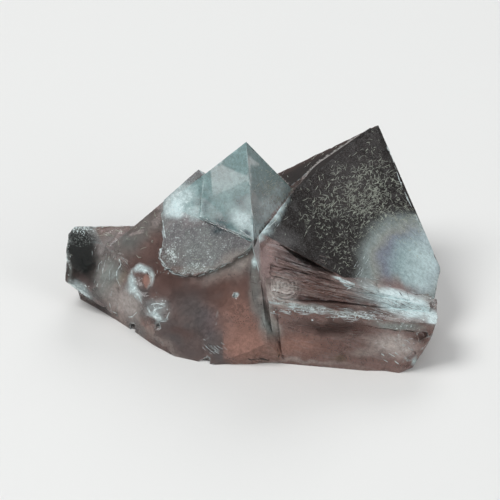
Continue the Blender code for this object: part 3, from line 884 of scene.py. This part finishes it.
class Net:
    """The nodes of one material."""

    def __init__(self, name):
        self.material = bpy.data.materials.new(name)
        self.material.use_nodes = True
        self.tree = self.material.node_tree
        self.tree.nodes.clear()

    def node(self, kind, settings=None, sockets=None):
        made = self.tree.nodes.new(kind)
        for name, value in (settings or {}).items():
            setattr(made, name, value)
        for name, value in (sockets or {}).items():
            target = made.inputs[name]
            if isinstance(value, Value):
                value = value.socket
            if isinstance(value, bpy.types.NodeSocket):
                self.tree.links.new(target, value)
            elif target.type == "RGBA" and len(value) == 3:
                target.default_value = (*value, 1.0)
            else:
                target.default_value = value
        return made

    def math(self, operation, *values):
        made = self.node("ShaderNodeMath", {"operation": operation}, dict(enumerate(values)))
        return Value(self, made.outputs[0])

    def vector(self, operation, sockets):
        return self.node("ShaderNodeVectorMath", {"operation": operation}, sockets)

    def scaled(self, vector, share):
        return self.vector("SCALE", {0: vector, "Scale": share}).outputs[0]

    def dot(self, vector, direction):
        return Value(self, self.vector("DOT_PRODUCT", {0: vector, 1: tuple(direction)}).outputs["Value"])

    def smooth(self, value, low, high):
        """0 below low and 1 above high, with a smooth step between; low may be the larger."""
        sockets = {"Value": value, "From Min": low, "From Max": high}
        made = self.node("ShaderNodeMapRange", {"interpolation_type": "SMOOTHSTEP"}, sockets)
        return Value(self, made.outputs["Result"])

    def mix(self, share, first, second):
        made = self.node("ShaderNodeMix", {"data_type": "RGBA"}, {0: share, 6: first, 7: second})
        return made.outputs[2]

    def attribute(self, name):
        return self.node("ShaderNodeAttribute", {"attribute_name": name}).outputs["Color"]

    def parts(self, colour):
        """The three parts of a colour as numbers."""
        made = self.node("ShaderNodeSeparateColor", None, {"Color": colour})
        return [Value(self, output) for output in made.outputs]

    def place(self):
        """Object coordinates in millimetres."""
        coordinates = self.node("ShaderNodeTexCoord").outputs["Object"]
        return self.vector("DIVIDE", {0: coordinates, 1: (MM, MM, MM)}).outputs[0]

    def grain(self, vector, scale, detail=3.0, roughness=0.5):
        sockets = {"Vector": vector, "Scale": scale, "Detail": detail, "Roughness": roughness}
        return Value(self, self.node("ShaderNodeTexNoise", None, sockets).outputs["Fac"])

    def bump(self, strength, millimetres, height):
        sockets = {"Strength": strength, "Distance": millimetres * MM, "Height": height}
        return self.node("ShaderNodeBump", None, sockets).outputs[0]

    def surface(self, **sockets):
        """A Principled shader; an underscore in a socket's name stands for a space."""
        named = {name.replace("_", " "): value for name, value in sockets.items()}
        return self.node("ShaderNodeBsdfPrincipled", None, named).outputs[0]

    def finish(self, shader, volume=None):
        output = self.node("ShaderNodeOutputMaterial", None, {"Surface": shader})
        if volume is not None:
            self.tree.links.new(output.inputs["Volume"], volume)
        return self.material


# Finishes.

FLUORITE_IOR = 1.434
# Colour that the crystal keeps and how strongly it takes up light, per metre.
DEPTH_COLOUR = (0.7, 0.42, 0.42)
DEPTH_DENSITY = 24.0
CLEAR_COLOUR = (0.97, 0.96, 0.96)
CLEAR_ROUGHNESS = 0.04
MILKY_SHEEN = 0.08
PALE_LINE = shown(198, 214, 216)
FROST_CRUMB = shown(214, 226, 226)
PALE_SPECK = shown(180, 186, 183)
# The share of its colour that the faintest part of a marking has.
FAINTEST = 0.45


def crystal_finish():
    """Clear crystal mixed with a milky finish: where the milk is thin the body is glass with absorption.
    Frost is broken into crumbs, and the wall's drawn lines are fine noise stretched along them."""
    net = Net("fluorite_crystal")
    place = net.place()
    tint = net.attribute("tint")
    milk, rough, frost = net.parts(net.attribute("look"))
    lines, specks, fibres = net.parts(net.attribute("grain"))

    soft = net.grain(place, 0.45, 4.0, 0.6)
    fine = net.grain(place, 1.6, 4.0, 0.6)
    speck = net.grain(place, 4.5, 3.0, 0.65)
    drawn = net.node("ShaderNodeCombineXYZ", None, {
        "X": net.dot(place, LINES_ALONG) / LINES_DRAWN,
        "Y": net.dot(place, LINES_OVER) + net.grain(place, 0.12, 2.0) * 3.0,
        "Z": net.dot(place, FRONT.toward) / LINES_DEEP,
    })
    line = net.grain(drawn.outputs[0], 2.6, 4.0, 0.65)

    # The tint's brightness: what each of three noises adds to its least.
    shade = net.smooth(fine, 0.32, 0.68) * 0.26 + net.smooth(soft, 0.3, 0.7) * 0.14
    shade = shade + net.smooth(speck, 0.38, 0.62) * 0.18 + 0.6
    colour = net.scaled(tint, shade)
    dark_lines = net.smooth(line, 0.46, 0.36) * lines
    colour = net.mix(dark_lines * 0.55, colour, net.scaled(tint, 0.45))
    pale_lines = net.smooth(line, 0.52, 0.62) * (lines * 0.35 + fibres)
    colour = net.mix(pale_lines * 0.75, colour, PALE_LINE)
    crumbs = net.smooth(speck * 0.7 + fine * 0.5 + frost * 0.42, 0.78, 0.88) * net.smooth(frost, 0.02, 0.12)
    colour = net.mix(crumbs * 0.8, colour, FROST_CRUMB)
    dots = net.smooth(speck, 0.5, 0.66) * specks
    colour = net.mix(dots * 0.4, colour, PALE_SPECK)

    covered = net.math("MAXIMUM", crumbs, net.math("MAXIMUM", dots * 0.6, pale_lines * 0.8))
    film = net.math("MAXIMUM", milk, covered)
    relief = fine * 0.25 + speck * (0.05 + frost * 0.4) + line * (lines * 0.9 + fibres * 0.9)
    milky = net.surface(
        Base_Color=colour,
        Roughness=rough,
        IOR=FLUORITE_IOR,
        Specular_IOR_Level=MILKY_SHEEN,
        Normal=net.bump(0.5, 0.2, relief),
    )
    clear = net.surface(
        Base_Color=CLEAR_COLOUR,
        Roughness=CLEAR_ROUGHNESS,
        IOR=FLUORITE_IOR,
        Transmission_Weight=1.0,
        Normal=net.bump(0.2, 0.2, relief),
    )
    both = net.node("ShaderNodeMixShader", None, {0: film, 1: clear, 2: milky})
    depth = net.node("ShaderNodeVolumeAbsorption", None, {"Color": DEPTH_COLOUR, "Density": DEPTH_DENSITY})
    return net.finish(both.outputs[0], depth.outputs[0])


def mark_finish(name, colour, rough):
    """A plain finish whose colour fades in places, by two noises added up."""
    net = Net(name)
    place = net.place()
    fine = net.grain(place, 3.0, 3.0, 0.6)
    soft = net.grain(place, 0.9, 2.0, 0.5)
    faint = tuple(FAINTEST * part for part in colour)
    shade = net.mix(net.smooth(fine + soft, 0.7, 1.25), faint, colour)
    normal = net.bump(0.4, 0.1, fine)
    return net.finish(net.surface(Base_Color=shade, Roughness=rough, IOR=FLUORITE_IOR, Normal=normal))


def floor_finish(colour):
    """A dull plain floor, a little glossier in places."""
    net = Net("studio_floor")
    rough = 0.55 + net.grain(net.place(), 0.02, 4.0) * 0.1
    return net.finish(net.surface(Base_Color=tuple(colour), Roughness=rough))


# Meshes.


def add_mesh(name, points, faces, material, smooth=True):
    """A closed mesh in metres from points in millimetres and lists of corner numbers."""
    mesh = bpy.data.meshes.new(name)
    mesh.from_pydata(points * MM, [], faces)
    mesh.polygons.foreach_set("use_smooth", np.full(len(mesh.polygons), smooth))
    mesh.materials.append(material)
    mesh.update()
    thing = bpy.data.objects.new(name, mesh)
    bpy.context.scene.collection.objects.link(thing)
    return thing


def add_growth(name, points, faces, material, smooth=True):
    thing = add_mesh(name, points, faces, material, smooth)
    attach(thing, "root")
    return thing


# The farthest that a line may leap in depth from one of its steps to the next.
GREATEST_LEAP = 0.5
# Steps along a line, and corners round it.
STEPS = 8
ROUND = 4
# What is left of a ridge's width at its very ends comes from this: just under 1, so that they don't close.
TAPER = 0.995


def ridges(lines, out, half_width, height):
    """Tapered ridges, one along each line of an array of lines by steps by 3: a ring across the line reaches
    half_width to the sides and height up and down, and it shrinks to both ends as the square root of 1 less
    TAPER times t squared. The last rings are capped."""
    count, steps = lines.shape[:2]
    t = np.linspace(-1.0, 1.0, steps)
    taper = np.sqrt(1.0 - TAPER * t * t)[None, :, None, None]
    along = unit(np.gradient(lines, axis=1))
    side = unit(np.cross(along, out))
    turn = np.linspace(0.0, 2 * math.pi, ROUND, endpoint=False)[None, None, :, None]
    wide = half_width[:, None, None, None] * np.cos(turn) * side[:, :, None, :]
    high = height[:, None, None, None] * np.sin(turn) * out[:, :, None, :]
    points = (lines[:, :, None, :] + taper * (wide + high)).reshape(-1, 3)
    start = (np.arange(count) * steps * ROUND)[:, None, None]
    near = start + (np.arange(steps - 1) * ROUND)[None, :, None]
    spot = np.arange(ROUND)[None, None, :]
    after = (spot + 1) % ROUND
    corners = [near + spot, near + after, near + ROUND + after, near + ROUND + spot]
    walls = np.stack(corners, axis=-1).reshape(-1, 4)
    first = start[:, 0] + np.arange(ROUND)[None, ::-1]
    last = start[:, 0] + (steps - 1) * ROUND + np.arange(ROUND)[None, :]
    return points, walls.tolist() + first.tolist() + last.tolist()


def laid(across, up, lookout=FRONT, turning=0.97):
    """Lines on the surface that lookout sees, lifted by the relief there. A line is kept where it lies on the
    surface all the way, its outward directions keep together by turning, and it makes no leap in depth. Gives
    the places, the outward directions drawn towards their mean, and which lines are kept."""
    points, out, found = lookout.surface(across.ravel(), up.ravel())
    flat = np.zeros(len(points))
    lift = relief(Places(points, out, points @ FRONT.axes.T, flat, flat))
    points = (points + lift[:, None] * out).reshape(*across.shape, 3)
    out = out.reshape(*across.shape, 3)
    together = (out * out[:, :1]).sum(axis=2).min(axis=1) > turning
    leap = np.abs(np.diff(points @ lookout.toward, axis=1)).max(axis=1, initial=0.0)
    whole = found.reshape(across.shape).all(axis=1) & together & (leap < GREATEST_LEAP)
    middle = unit(out[whole].mean(axis=1, keepdims=True))
    return points[whole], unit(out[whole] + middle), whole


# A field of short lines: middle and half size in the view, heading in degrees and its spread, usual length,
# bend in radians, half width and count.
Field = namedtuple("Field", "across up half_across half_up heading spread length bend half_width count")
MARK_FIELDS = (
    Field(18.8, 18.8, 6.4, 4.8, 0, 180, 0.85, 2.8, 0.042, 420),
    Field(17.8, 15.0, 5.8, 4.6, 0, 180, 0.65, 2.8, 0.036, 300),
    Field(10.8, 15.0, 3.0, 4.4, 0, 180, 0.7, 2.8, 0.036, 110),
    Field(14.8, 8.8, 3.0, 4.4, 0, 180, 0.55, 2.4, 0.036, 120),
    Field(20.0, 11.0, 5.0, 4.0, 0, 180, 0.5, 2.4, 0.03, 60),
    Field(21.0, 22.0, 2.2, 5.0, 0, 180, 0.5, 2.4, 0.03, 50),
    Field(3.4, 17.8, 2.4, 4.6, 70, 50, 0.6, 2.4, 0.034, 190),
    Field(10.0, 22.0, 5.0, 2.4, 45, 20, 0.5, 0.6, 0.03, 10),
)
# Fields on the other sides: the side's turn and height in degrees, and then the field in that view.
FAR_FIELDS = (
    (180, 25, Field(-16.0, 6.0, 6.5, 4.5, 0, 180, 0.7, 2.6, 0.042, 260)),
    (180, 25, Field(9.0, 4.0, 6.0, 4.0, 0, 180, 0.65, 2.6, 0.042, 150)),
    (90, 15, Field(2.0, 8.0, 7.0, 5.0, 0, 180, 0.65, 2.6, 0.042, 170)),
    (270, 20, Field(0.0, 7.0, 8.0, 5.0, 0, 180, 0.65, 2.6, 0.042, 150)),
)
FIBRE_FIELDS = (
    Field(3.2, 17.2, 2.2, 4.6, 60, 60, 0.5, 2.4, 0.03, 80),
    Field(1.2, 13.6, 1.4, 1.8, 60, 60, 0.4, 2.4, 0.03, 40),
    Field(10.0, -1.6, 6.5, 0.6, -6, 4, 1.4, 0.2, 0.04, 70),
    Field(17.5, -2.3, 4.0, 0.7, -8, 8, 1.2, 0.3, 0.045, 70),
    Field(24.5, -0.6, 5.5, 1.6, -20, 5, 1.5, 0.3, 0.045, 170),
    Field(28.5, -2.0, 2.4, 1.4, -22, 10, 0.9, 0.4, 0.045, 70),
    Field(20.0, 2.2, 3.4, 1.4, -20, 10, 1.0, 0.4, 0.04, 40),
    Field(17.6, 5.0, 1.0, 2.0, 60, 14, 1.0, 0.3, 0.03, 14),
    Field(22.4, -9.0, 1.6, 0.6, -38, 10, 0.7, 0.2, 0.08, 6),
    Field(24.0, -7.0, 2.6, 1.4, -20, 25, 0.6, 0.4, 0.04, 18),
    Field(-6.0, -7.8, 1.8, 0.9, -38, 8, 1.0, 0.2, 0.03, 18),
    Field(-24.0, 5.0, 1.6, 3.0, 75, 14, 0.9, 0.5, 0.025, 34),
)
PALE_FIELDS = (
    Field(7.0, 4.6, 5.5, 1.8, -18, 3, 2.4, 0.12, 0.03, 60),
    Field(13.0, 1.6, 6.5, 1.8, -13, 3, 2.8, 0.12, 0.028, 80),
    Field(6.0, 0.6, 3.0, 1.4, -24, 14, 1.4, 0.6, 0.035, 50),
)
DARK_FIELDS = (
    Field(16.0, -5.2, 2.8, 1.1, -3, 2, 1.3, 0.1, 0.04, 40),
    Field(12.0, -4.2, 4.0, 0.6, -4, 2, 1.6, 0.1, 0.035, 26),
    Field(7.0, 3.4, 5.0, 1.6, -19, 3, 2.2, 0.15, 0.03, 50),
    Field(13.0, 0.8, 5.0, 1.2, -13, 3, 2.2, 0.15, 0.03, 46),
    Field(24.5, -1.2, 5.0, 1.2, -20, 5, 1.2, 0.2, 0.03, 46),
)
# A broken line: its half width, strands side by side, how far they stray, and its points in the view.
Vein = namedtuple("Vein", "name half_width strands stray points")
VEINS = (
    Vein("crack hook", 0.066, 2.4, 0.36, (
        (-20.33, 1.66), (-20.17, 3.31), (-19.67, 4.8), (-18.52, 5.62), (-17.36, 5.13), (-16.7, 3.97),
        (-16.54, 2.49),
    )),
    Vein("crack neck", 0.091, 4.0, 0.3, ((-20.0, 2.49), (-19.18, 1.34), (-18.19, -0.15))),
    Vein("crack cloud's lower rim", 0.083, 2.2, 0.21, (
        (-17.36, -0.98), (-16.7, -2.13), (-15.38, -3.12), (-14.06, -2.96), (-13.4, -1.8),
    )),
    Vein("crack cloud's upper rim", 0.099, 2.5, 0.17, ((-17.03, -0.65), (-15.71, -0.32), (-14.23, -0.65))),
    Vein("crack cloud's flash", 0.091, 3.0, 0.23, ((-16.7, -1.8), (-15.55, -1.14), (-14.39, -0.81))),
    Vein("left swirl's inner arc", 0.083, 1.6, 0.05, (
        (-21.65, 6.28), (-22.48, 4.96), (-22.48, 3.48), (-21.82, 2.16),
    )),
    Vein("left swirl's outer arc", 0.099, 1.6, 0.05, ((-22.31, 7.44), (-21.82, 6.12), (-22.15, 4.96))),
    Vein("flank crescent", 0.083, 1.6, 0.05, ((-20.83, -2.62), (-19.84, -2.62), (-19.01, -1.8))),
    Vein("flank curve", 0.066, 1.2, 0.05, ((-23.8, 0.18), (-23.47, -1.64), (-22.15, -2.3))),
    Vein("long vein", 0.021, 0.5, 0.1, ((-8.12, -7.58), (-7.13, -5.76), (-6.14, -4.11), (-5.48, -0.98))),
    Vein("crossing vein", 0.023, 0.6, 0.13, ((-9.28, -5.43), (-7.63, -6.59), (-6.31, -7.91))),
    Vein("plate's left edge", 0.115, 3.0, 0.04, ((-14.81, 13.38), (-14.56, 11.73), (-14.26, 10.08))),
    Vein("plate's corner", 0.115, 3.0, 0.2, (
        (-14.39, 9.75), (-15.05, 8.76), (-15.38, 7.44), (-14.72, 6.12), (-13.9, 5.13),
    )),
    Vein("plate's scalloped rim", 0.115, 2.6, 0.07, (
        (-14.39, 5.62), (-12.91, 4.55), (-10.93, 4.14), (-8.78, 4.14), (-6.97, 4.8), (-5.32, 5.54),
        (-3.67, 6.45), (-2.02, 7.27), (-0.53, 7.93),
    )),
    Vein("top crystal's lower right edge", 0.058, 1.4, 0.07, (
        (0.62, 10.08), (1.61, 11.23), (2.93, 12.39), (4.09, 13.54),
    )),
    Vein("top crystal's lower left edge", 0.083, 1.6, 0.05, ((-2.35, 12.06), (-0.86, 10.91), (0.62, 10.08))),
    # Painted light: pale ridges laid in the shaded crevice where three edges meet, to lift its shade.
    Vein("foot of the front ridge", 0.099, 2.4, 0.08, ((-0.2, 15.85), (0.29, 13.05), (0.62, 10.41))),
    Vein("chipped right edge", 0.074, 1.1, 0.08, (
        (22.57, 26.08), (23.55, 23.77), (24.71, 19.98), (26.36, 16.18), (27.52, 13.54), (28.34, 11.89),
    )),
    # Painted highlights: the white glint below the front face, and a chip beside the wall with its glint.
    Vein("painted white highlight", 0.132, 4.0, 0.08, ((13.49, 3.97), (15.31, 3.31), (17.12, 2.57))),
    Vein("flash beside the wall", 0.083, 2.0, 0.13, ((14.15, 0.84), (14.98, 1.83), (16.3, 2.49))),
    Vein("lump's upper edge", 0.115, 3.0, 0.2, ((-30.4, 12.39), (-29.08, 12.55), (-27.43, 12.39))),
    Vein("lump's lower edge", 0.115, 3.0, 0.15, (
        (-31.22, 3.31), (-29.74, 2.32), (-28.09, 1.34), (-26.77, 0.34),
    )),
    Vein("lump's left edge", 0.074, 1.6, 0.1, ((-30.73, 10.08), (-30.89, 7.11), (-31.06, 4.14))),
)
DARK_CRACKS_AND_SHADOW = (
    Vein("streaks beside the heart", 0.033, 1.6, 0.33, ((-7.3, -7.08), (-5.81, -8.07), (-4.0, -9.06))),
    Vein("marks below the heart", 0.074, 3.0, 0.08, (
        (-1.03, -9.39), (-0.04, -9.55), (1.45, -9.39), (2.93, -9.72),
    )),
    # Painted shadow: a dark line along the shaded notch under the front face's lower edge.
    Vein("line under the wedge", 0.099, 2.0, 0.08, (
        (2.93, 9.91), (6.23, 8.27), (9.86, 6.45), (13.49, 4.63),
    )),
    Vein("seam's left border", 0.041, 0.8, 0.05, (
        (-0.2, 6.45), (-0.2, 3.48), (0.13, 0.18), (1.61, -3.12), (3.26, -7.25),
    )),
    Vein("seam's right border", 0.041, 0.8, 0.05, (
        (1.28, 6.45), (1.78, 2.65), (2.93, -0.65), (4.58, -3.95),
    )),
    Vein("ledge's lower line", 0.066, 1.6, 0.08, (
        (16.13, -3.45), (20.26, -4.28), (24.38, -4.77), (27.68, -4.94),
    )),
    Vein("veil's lower line", 0.083, 2.0, 0.05, ((24.05, 1.5), (24.55, 0.84))),
    Vein("stain", 0.115, 3.0, 0.13, ((4.25, -7.41), (4.42, -8.4), (4.25, -9.39))),
)
# Usual length of one fragment of a vein.
FRAGMENT = 0.8
# A scatter of frosty crumbs: middle and half size in the view, usual size, and count.
Scatter = namedtuple("Scatter", "across up half_across half_up size count")
CRUMB_SCATTERS = (
    Scatter(-28.6, 11.9, 1.8, 0.7, 0.11, 70),
    Scatter(-30.6, 6.5, 0.4, 3.4, 0.09, 34),
    Scatter(-28.8, 2.0, 2.0, 1.0, 0.1, 40),
    Scatter(-13.8, 7.2, 0.9, 1.9, 0.05, 90),
    Scatter(-10.0, 4.8, 3.6, 0.45, 0.055, 130),
    Scatter(-12.2, 6.2, 1.8, 1.4, 0.04, 50),
    Scatter(-19.6, 4.4, 1.2, 1.6, 0.08, 30),
    Scatter(-15.6, -1.6, 1.6, 1.6, 0.08, 30),
    Scatter(17.8, -2.4, 4.5, 0.6, 0.12, 70),
    Scatter(8.0, -1.4, 4.0, 0.5, 0.1, 50),
    Scatter(28.0, -1.4, 2.8, 1.4, 0.12, 80),
    Scatter(25.0, 21.0, 0.35, 3.6, 0.1, 16),
    Scatter(28.6, 12.5, 0.6, 3.0, 0.1, 18),
)
# A crumb's corners, how far each one reaches, and its sides.
CRUMB_CORNERS = np.array([[1, 0, 0], [0, 1, 0], [-1, 0, 0], [0, -1, 0], [0, 0, 1], [0, 0, -1]], float)
CRUMB_REACH = np.array([1.0, 1.0, 1.0, 1.0, 0.5, 0.5])
CRUMB_SIDES = np.array([
    [0, 1, 4], [1, 2, 4], [2, 3, 4], [3, 0, 4], [1, 0, 5], [2, 1, 5], [3, 2, 5], [0, 3, 5],
])


def field_lines(rng, fields):
    """Short lines in the view: each turns from its heading by its bend over its length, and a sine wave makes
    some of them S-shaped. Gives the places across and up, and the half widths."""
    each = np.repeat(np.arange(len(fields)), [field.count for field in fields])
    values = np.array(fields, float)[each].T
    across, up, half_across, half_up, heading, spread, length, bend, half_width, _ = values
    count = len(each)
    scatter = rng.normal(0.0, 0.55, (count, 2))
    turned = np.radians(heading + spread * rng.uniform(-1.0, 1.0, count))
    bend = bend * rng.uniform(-1.0, 1.0, count)
    stride = length * rng.uniform(0.4, 1.6, count) / (STEPS - 1)
    t = np.linspace(-0.5, 0.5, STEPS)
    swing = 0.5 * bend * rng.uniform(-1.0, 1.0, count)
    angle = turned[:, None] + bend[:, None] * t + swing[:, None] * np.sin(2 * math.pi * t)
    path = np.cumsum(np.stack([np.cos(angle), np.sin(angle)], axis=-1) * stride[:, None, None], axis=1)
    path -= path.mean(axis=1, keepdims=True)
    across = (across + half_across * scatter[:, 0])[:, None] + path[..., 0]
    up = (up + half_up * scatter[:, 1])[:, None] + path[..., 1]
    return across, up, half_width * rng.uniform(0.6, 1.3, count)


def vein_lines(rng, veins):
    """Fragments of bent lines in the view: each is a piece of the line of random place and length, moved
    aside a little. Gives the places across and up, and the half widths."""
    parts = []
    for vein in veins:
        knots = np.array(vein.points)
        run = np.concatenate([[0.0], np.linalg.norm(np.diff(knots, axis=0), axis=1).cumsum()])
        count = math.ceil(vein.strands * run[-1] / FRAGMENT)
        length = np.minimum(FRAGMENT * rng.uniform(0.4, 1.8, count), run[-1])
        begin = rng.uniform(0.0, 1.0, count) * (run[-1] - length)
        t = begin[:, None] + length[:, None] * np.linspace(0.0, 1.0, STEPS)
        aside = rng.normal(0.0, 0.6, (2, count, 1)) + rng.normal(0.0, 0.08, (2, count, STEPS))
        across, up = (np.interp(t, run, knots[:, axis]) + vein.stray * aside[axis] for axis in range(2))
        parts.append((across, up, vein.half_width * rng.uniform(0.4, 1.1, count)))
    return tuple(np.concatenate(part) for part in zip(*parts))


def crumbs(points, out, size, rng):
    """Small broken grains: an octahedron at each point, with each corner at its own distance, half sunk."""
    count = len(points)
    side = unit(np.cross(out, rng.normal(0.0, 1.0, (count, 3))))
    axes = np.stack([side, np.cross(out, side), out], axis=1)
    reach = size[:, None, None] * rng.uniform(0.5, 1.4, (count, 6, 1)) * CRUMB_REACH[:, None]
    grains = points[:, None] + (CRUMB_CORNERS * reach) @ axes
    faces = (np.arange(count) * 6)[:, None, None] + CRUMB_SIDES
    return grains.reshape(-1, 3), faces.reshape(-1, 3).tolist()


# Where each operator's random draws start.
MARK_SEED = 11
LINE_SEED = 12
FROST_SEED = 13
# Edges of the surface that turn by more than this stay sharp, in degrees.
SHARP_TURN = 32.0
# Height of a fine line as a share of its half width, and how closely its outward directions keep together.
LINE_FLATNESS = 0.45
LINE_TURNING = 0.8
# The stage: corners of the floor, the air's colour and strength, the place in metres that the lights face,
# the camera's sensor in millimetres, how near and how far it sees in metres, and the picture's middle.
FLOOR_CORNERS = 96
AIR_COLOUR = (0.9, 0.93, 0.96, 1.0)
AIR_STRENGTH = 0.36
LIT_PLACE = (0.0, 0.0, 0.012)
SENSOR_WIDTH = 36.0
NEAREST_SEEN = 0.01
FARTHEST_SEEN = 20.0
PICTURE_MIDDLE = (-0.37, -8.66, 14.16)
# Soft lights: name, place in metres, width in metres, and power in watts.
LIGHTS = (
    ("key_light", (-0.45, -0.15, 0.75), 0.5, 5.2),
    ("fill_light", (0.6, -0.6, 0.45), 0.6, 2.4),
    ("rim_light", (0.1, 0.65, 0.5), 0.5, 1.6),
)


class FLUORITE_OT_crystals(bpy.types.Operator):
    """Give the crystal group its clear and milky finish"""

    bl_idname = "fluorite.crystals"
    bl_label = "Crystals"

    def execute(self, context):
        colours = context.scene.fluorite_colours
        tones = {name: tuple(getattr(colours, name)) for name in FluoriteColours.__annotations__}
        skin = Skin(context.scene.fluorite_sizes.finest / MM)
        points = skin.points + relief(skin.places)[:, None] * skin.out
        surface = add_growth("crystal_surface", points, skin.triangles.tolist(), crystal_finish())
        crystal_paint(skin, tones).store(surface.data)
        surface.data.set_sharp_from_angle(angle=math.radians(SHARP_TURN))
        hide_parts(CRYSTALS)
        return {"FINISHED"}


class FLUORITE_OT_growth_marks(bpy.types.Operator):
    """Add the pale curled growth marks on the crystal faces"""

    bl_idname = "fluorite.growth_marks"
    bl_label = "Growth marks"

    def execute(self, context):
        sizes = context.scene.fluorite_sizes
        rng = np.random.default_rng(MARK_SEED)
        parts = [(FRONT, field_lines(rng, MARK_FIELDS))]
        for turn, height, field in FAR_FIELDS:
            parts.append((Lookout(turn, height), field_lines(rng, (field,))))
        kept = []
        for lookout, (across, up, half_width) in parts:
            points, out, whole = laid(across, up, lookout)
            kept.append((points, out, half_width[whole] * sizes.mark_width))
        points, out, half_width = (np.concatenate(part) for part in zip(*kept))
        made = ridges(points, out, half_width, half_width * sizes.mark_height)
        add_growth("growth_marks", *made, mark_finish("growth_mark", shown(176, 182, 168), 0.4))
        return {"FINISHED"}


class FLUORITE_OT_fine_lines(bpy.types.Operator):
    """Add the frosted veins with their painted highlights and painted light, the pale fibres, the lines on
    the wall, and the dark cracks with a painted shadow line
    """

    bl_idname = "fluorite.fine_lines"
    bl_label = "Veins, fibres and cracks"

    def execute(self, context):
        rng = np.random.default_rng(LINE_SEED)
        for name, draw, source, finish, colour, rough in (
            # The frost veins carry painted highlights and painted light, and the dark cracks a painted shadow
            # line.
            ("frost_and_painted_light_veins", vein_lines, VEINS, "frost_and_painted_light_vein", FROST_CRUMB, 0.4),
            ("pale_fibres", field_lines, FIBRE_FIELDS, "pale_fibre", shown(204, 216, 217), 0.35),
            ("wall_lines", field_lines, PALE_FIELDS, "wall_line", shown(160, 142, 136), 0.4),
            ("dark_cracks_and_painted_shadow", vein_lines, DARK_CRACKS_AND_SHADOW, "dark_crack_and_painted_shadow", shown(52, 40, 34), 0.5),
            ("dark_lines", field_lines, DARK_FIELDS, "dark_line", shown(78, 52, 46), 0.5),
        ):
            across, up, half_width = draw(rng, source)
            points, out, whole = laid(across, up, turning=LINE_TURNING)
            made = ridges(points, out, half_width[whole], LINE_FLATNESS * half_width[whole])
            add_growth(name, *made, mark_finish(finish, colour, rough))
        return {"FINISHED"}


class FLUORITE_OT_frost(bpy.types.Operator):
    """Add the frosty crumbs along broken edges and on the plate"""

    bl_idname = "fluorite.frost"
    bl_label = "Frost crumbs"

    def execute(self, context):
        rng = np.random.default_rng(FROST_SEED)
        each = np.repeat(np.arange(len(CRUMB_SCATTERS)), [scatter.count for scatter in CRUMB_SCATTERS])
        across, up, half_across, half_up, size, _ = np.array(CRUMB_SCATTERS)[each].T
        away = rng.normal(0.0, 0.6, (2, len(each)))
        across = across + half_across * away[0]
        up = up + half_up * away[1]
        points, out, whole = laid(across[:, None], up[:, None])
        size = (size * rng.uniform(0.5, 1.5, len(each)))[whole]
        made = crumbs(points[:, 0], out[:, 0], size, rng)
        add_growth("frost_crumbs", *made, mark_finish("frost_crumb", FROST_CRUMB, 0.35), smooth=False)
        return {"FINISHED"}


class FLUORITE_OT_stage(bpy.types.Operator):
    """Add the plain floor, the soft lights and the camera"""

    bl_idname = "fluorite.stage"
    bl_label = "Stage"

    def execute(self, context):
        scene = context.scene
        stage = scene.fluorite_stage
        turn = np.linspace(0.0, 2 * math.pi, FLOOR_CORNERS, endpoint=False)
        rim = np.stack([np.cos(turn), np.sin(turn), np.zeros_like(turn)], axis=1) * stage.floor_reach / MM
        corners = list(range(FLOOR_CORNERS))
        floor = add_mesh("floor", rim, [corners], floor_finish(stage.floor_colour), smooth=False)

        world = bpy.data.worlds.new("studio_air")
        world.use_nodes = True
        air = world.node_tree.nodes["Background"]
        air.inputs["Color"].default_value = AIR_COLOUR
        air.inputs["Strength"].default_value = AIR_STRENGTH
        scene.world = world

        for name, place, size, power in LIGHTS:
            lamp = bpy.data.lights.new(name, "AREA")
            lamp.shape = "DISK"
            lamp.size = size
            lamp.energy = power
            self.hold(scene, name, lamp, Vector(place), Vector(LIT_PLACE) - Vector(place))

        camera = bpy.data.cameras.new("camera")
        camera.lens = stage.lens
        camera.sensor_width = SENSOR_WIDTH
        camera.clip_start = NEAREST_SEEN
        camera.clip_end = FARTHEST_SEEN
        toward = Vector(FRONT.toward)
        away = toward * (stage.picture_width * stage.lens / SENSOR_WIDTH)
        scene.camera = self.hold(scene, "camera", camera, Vector(PICTURE_MIDDLE) * MM + away, -toward)
        scene.view_settings.view_transform = "Standard"
        return {"FINISHED"}

    def hold(self, scene, name, held, place, way):
        """An object that holds a lamp or the camera and looks along way."""
        holder = bpy.data.objects.new(name, held)
        holder.location = place
        holder.rotation_euler = way.to_track_quat("-Z", "Y").to_euler()
        scene.collection.objects.link(holder)
        return holder


class FLUORITE_PT_panel(bpy.types.Panel):
    bl_idname = "FLUORITE_PT_panel"
    bl_label = "Fluorite Specimen"
    bl_space_type = "VIEW_3D"
    bl_region_type = "UI"
    bl_category = "Fluorite"

    def draw(self, context):
        for operator in OPERATORS:
            self.layout.operator(operator.bl_idname)
        for group in SETTINGS:
            settings = getattr(context.scene, group)
            box = self.layout.box()
            for name in settings.bl_rna.properties.keys():
                if name not in ("rna_type", "name"):
                    box.prop(settings, name)


OPERATORS = (
    FLUORITE_OT_crystals,
    FLUORITE_OT_growth_marks,
    FLUORITE_OT_fine_lines,
    FLUORITE_OT_frost,
    FLUORITE_OT_stage,
)
SETTINGS = {
    "fluorite_sizes": FluoriteSizes,
    "fluorite_colours": FluoriteColours,
    "fluorite_stage": FluoriteStage,
}
CLASSES = (*SETTINGS.values(), *OPERATORS, FLUORITE_PT_panel)


def register():
    for kind in CLASSES:
        bpy.utils.register_class(kind)
    for name, kind in SETTINGS.items():
        setattr(bpy.types.Scene, name, bpy.props.PointerProperty(type=kind))


def unregister():
    for name in SETTINGS:
        delattr(bpy.types.Scene, name)
    for kind in reversed(CLASSES):
        bpy.utils.unregister_class(kind)


def main():
    """Builds every piece and the stage."""
    register()
    bpy.ops.fluorite.crystals()
    bpy.ops.fluorite.growth_marks()
    bpy.ops.fluorite.fine_lines()
    bpy.ops.fluorite.frost()
    bpy.ops.fluorite.stage()


if __name__ == "__main__":
    main()
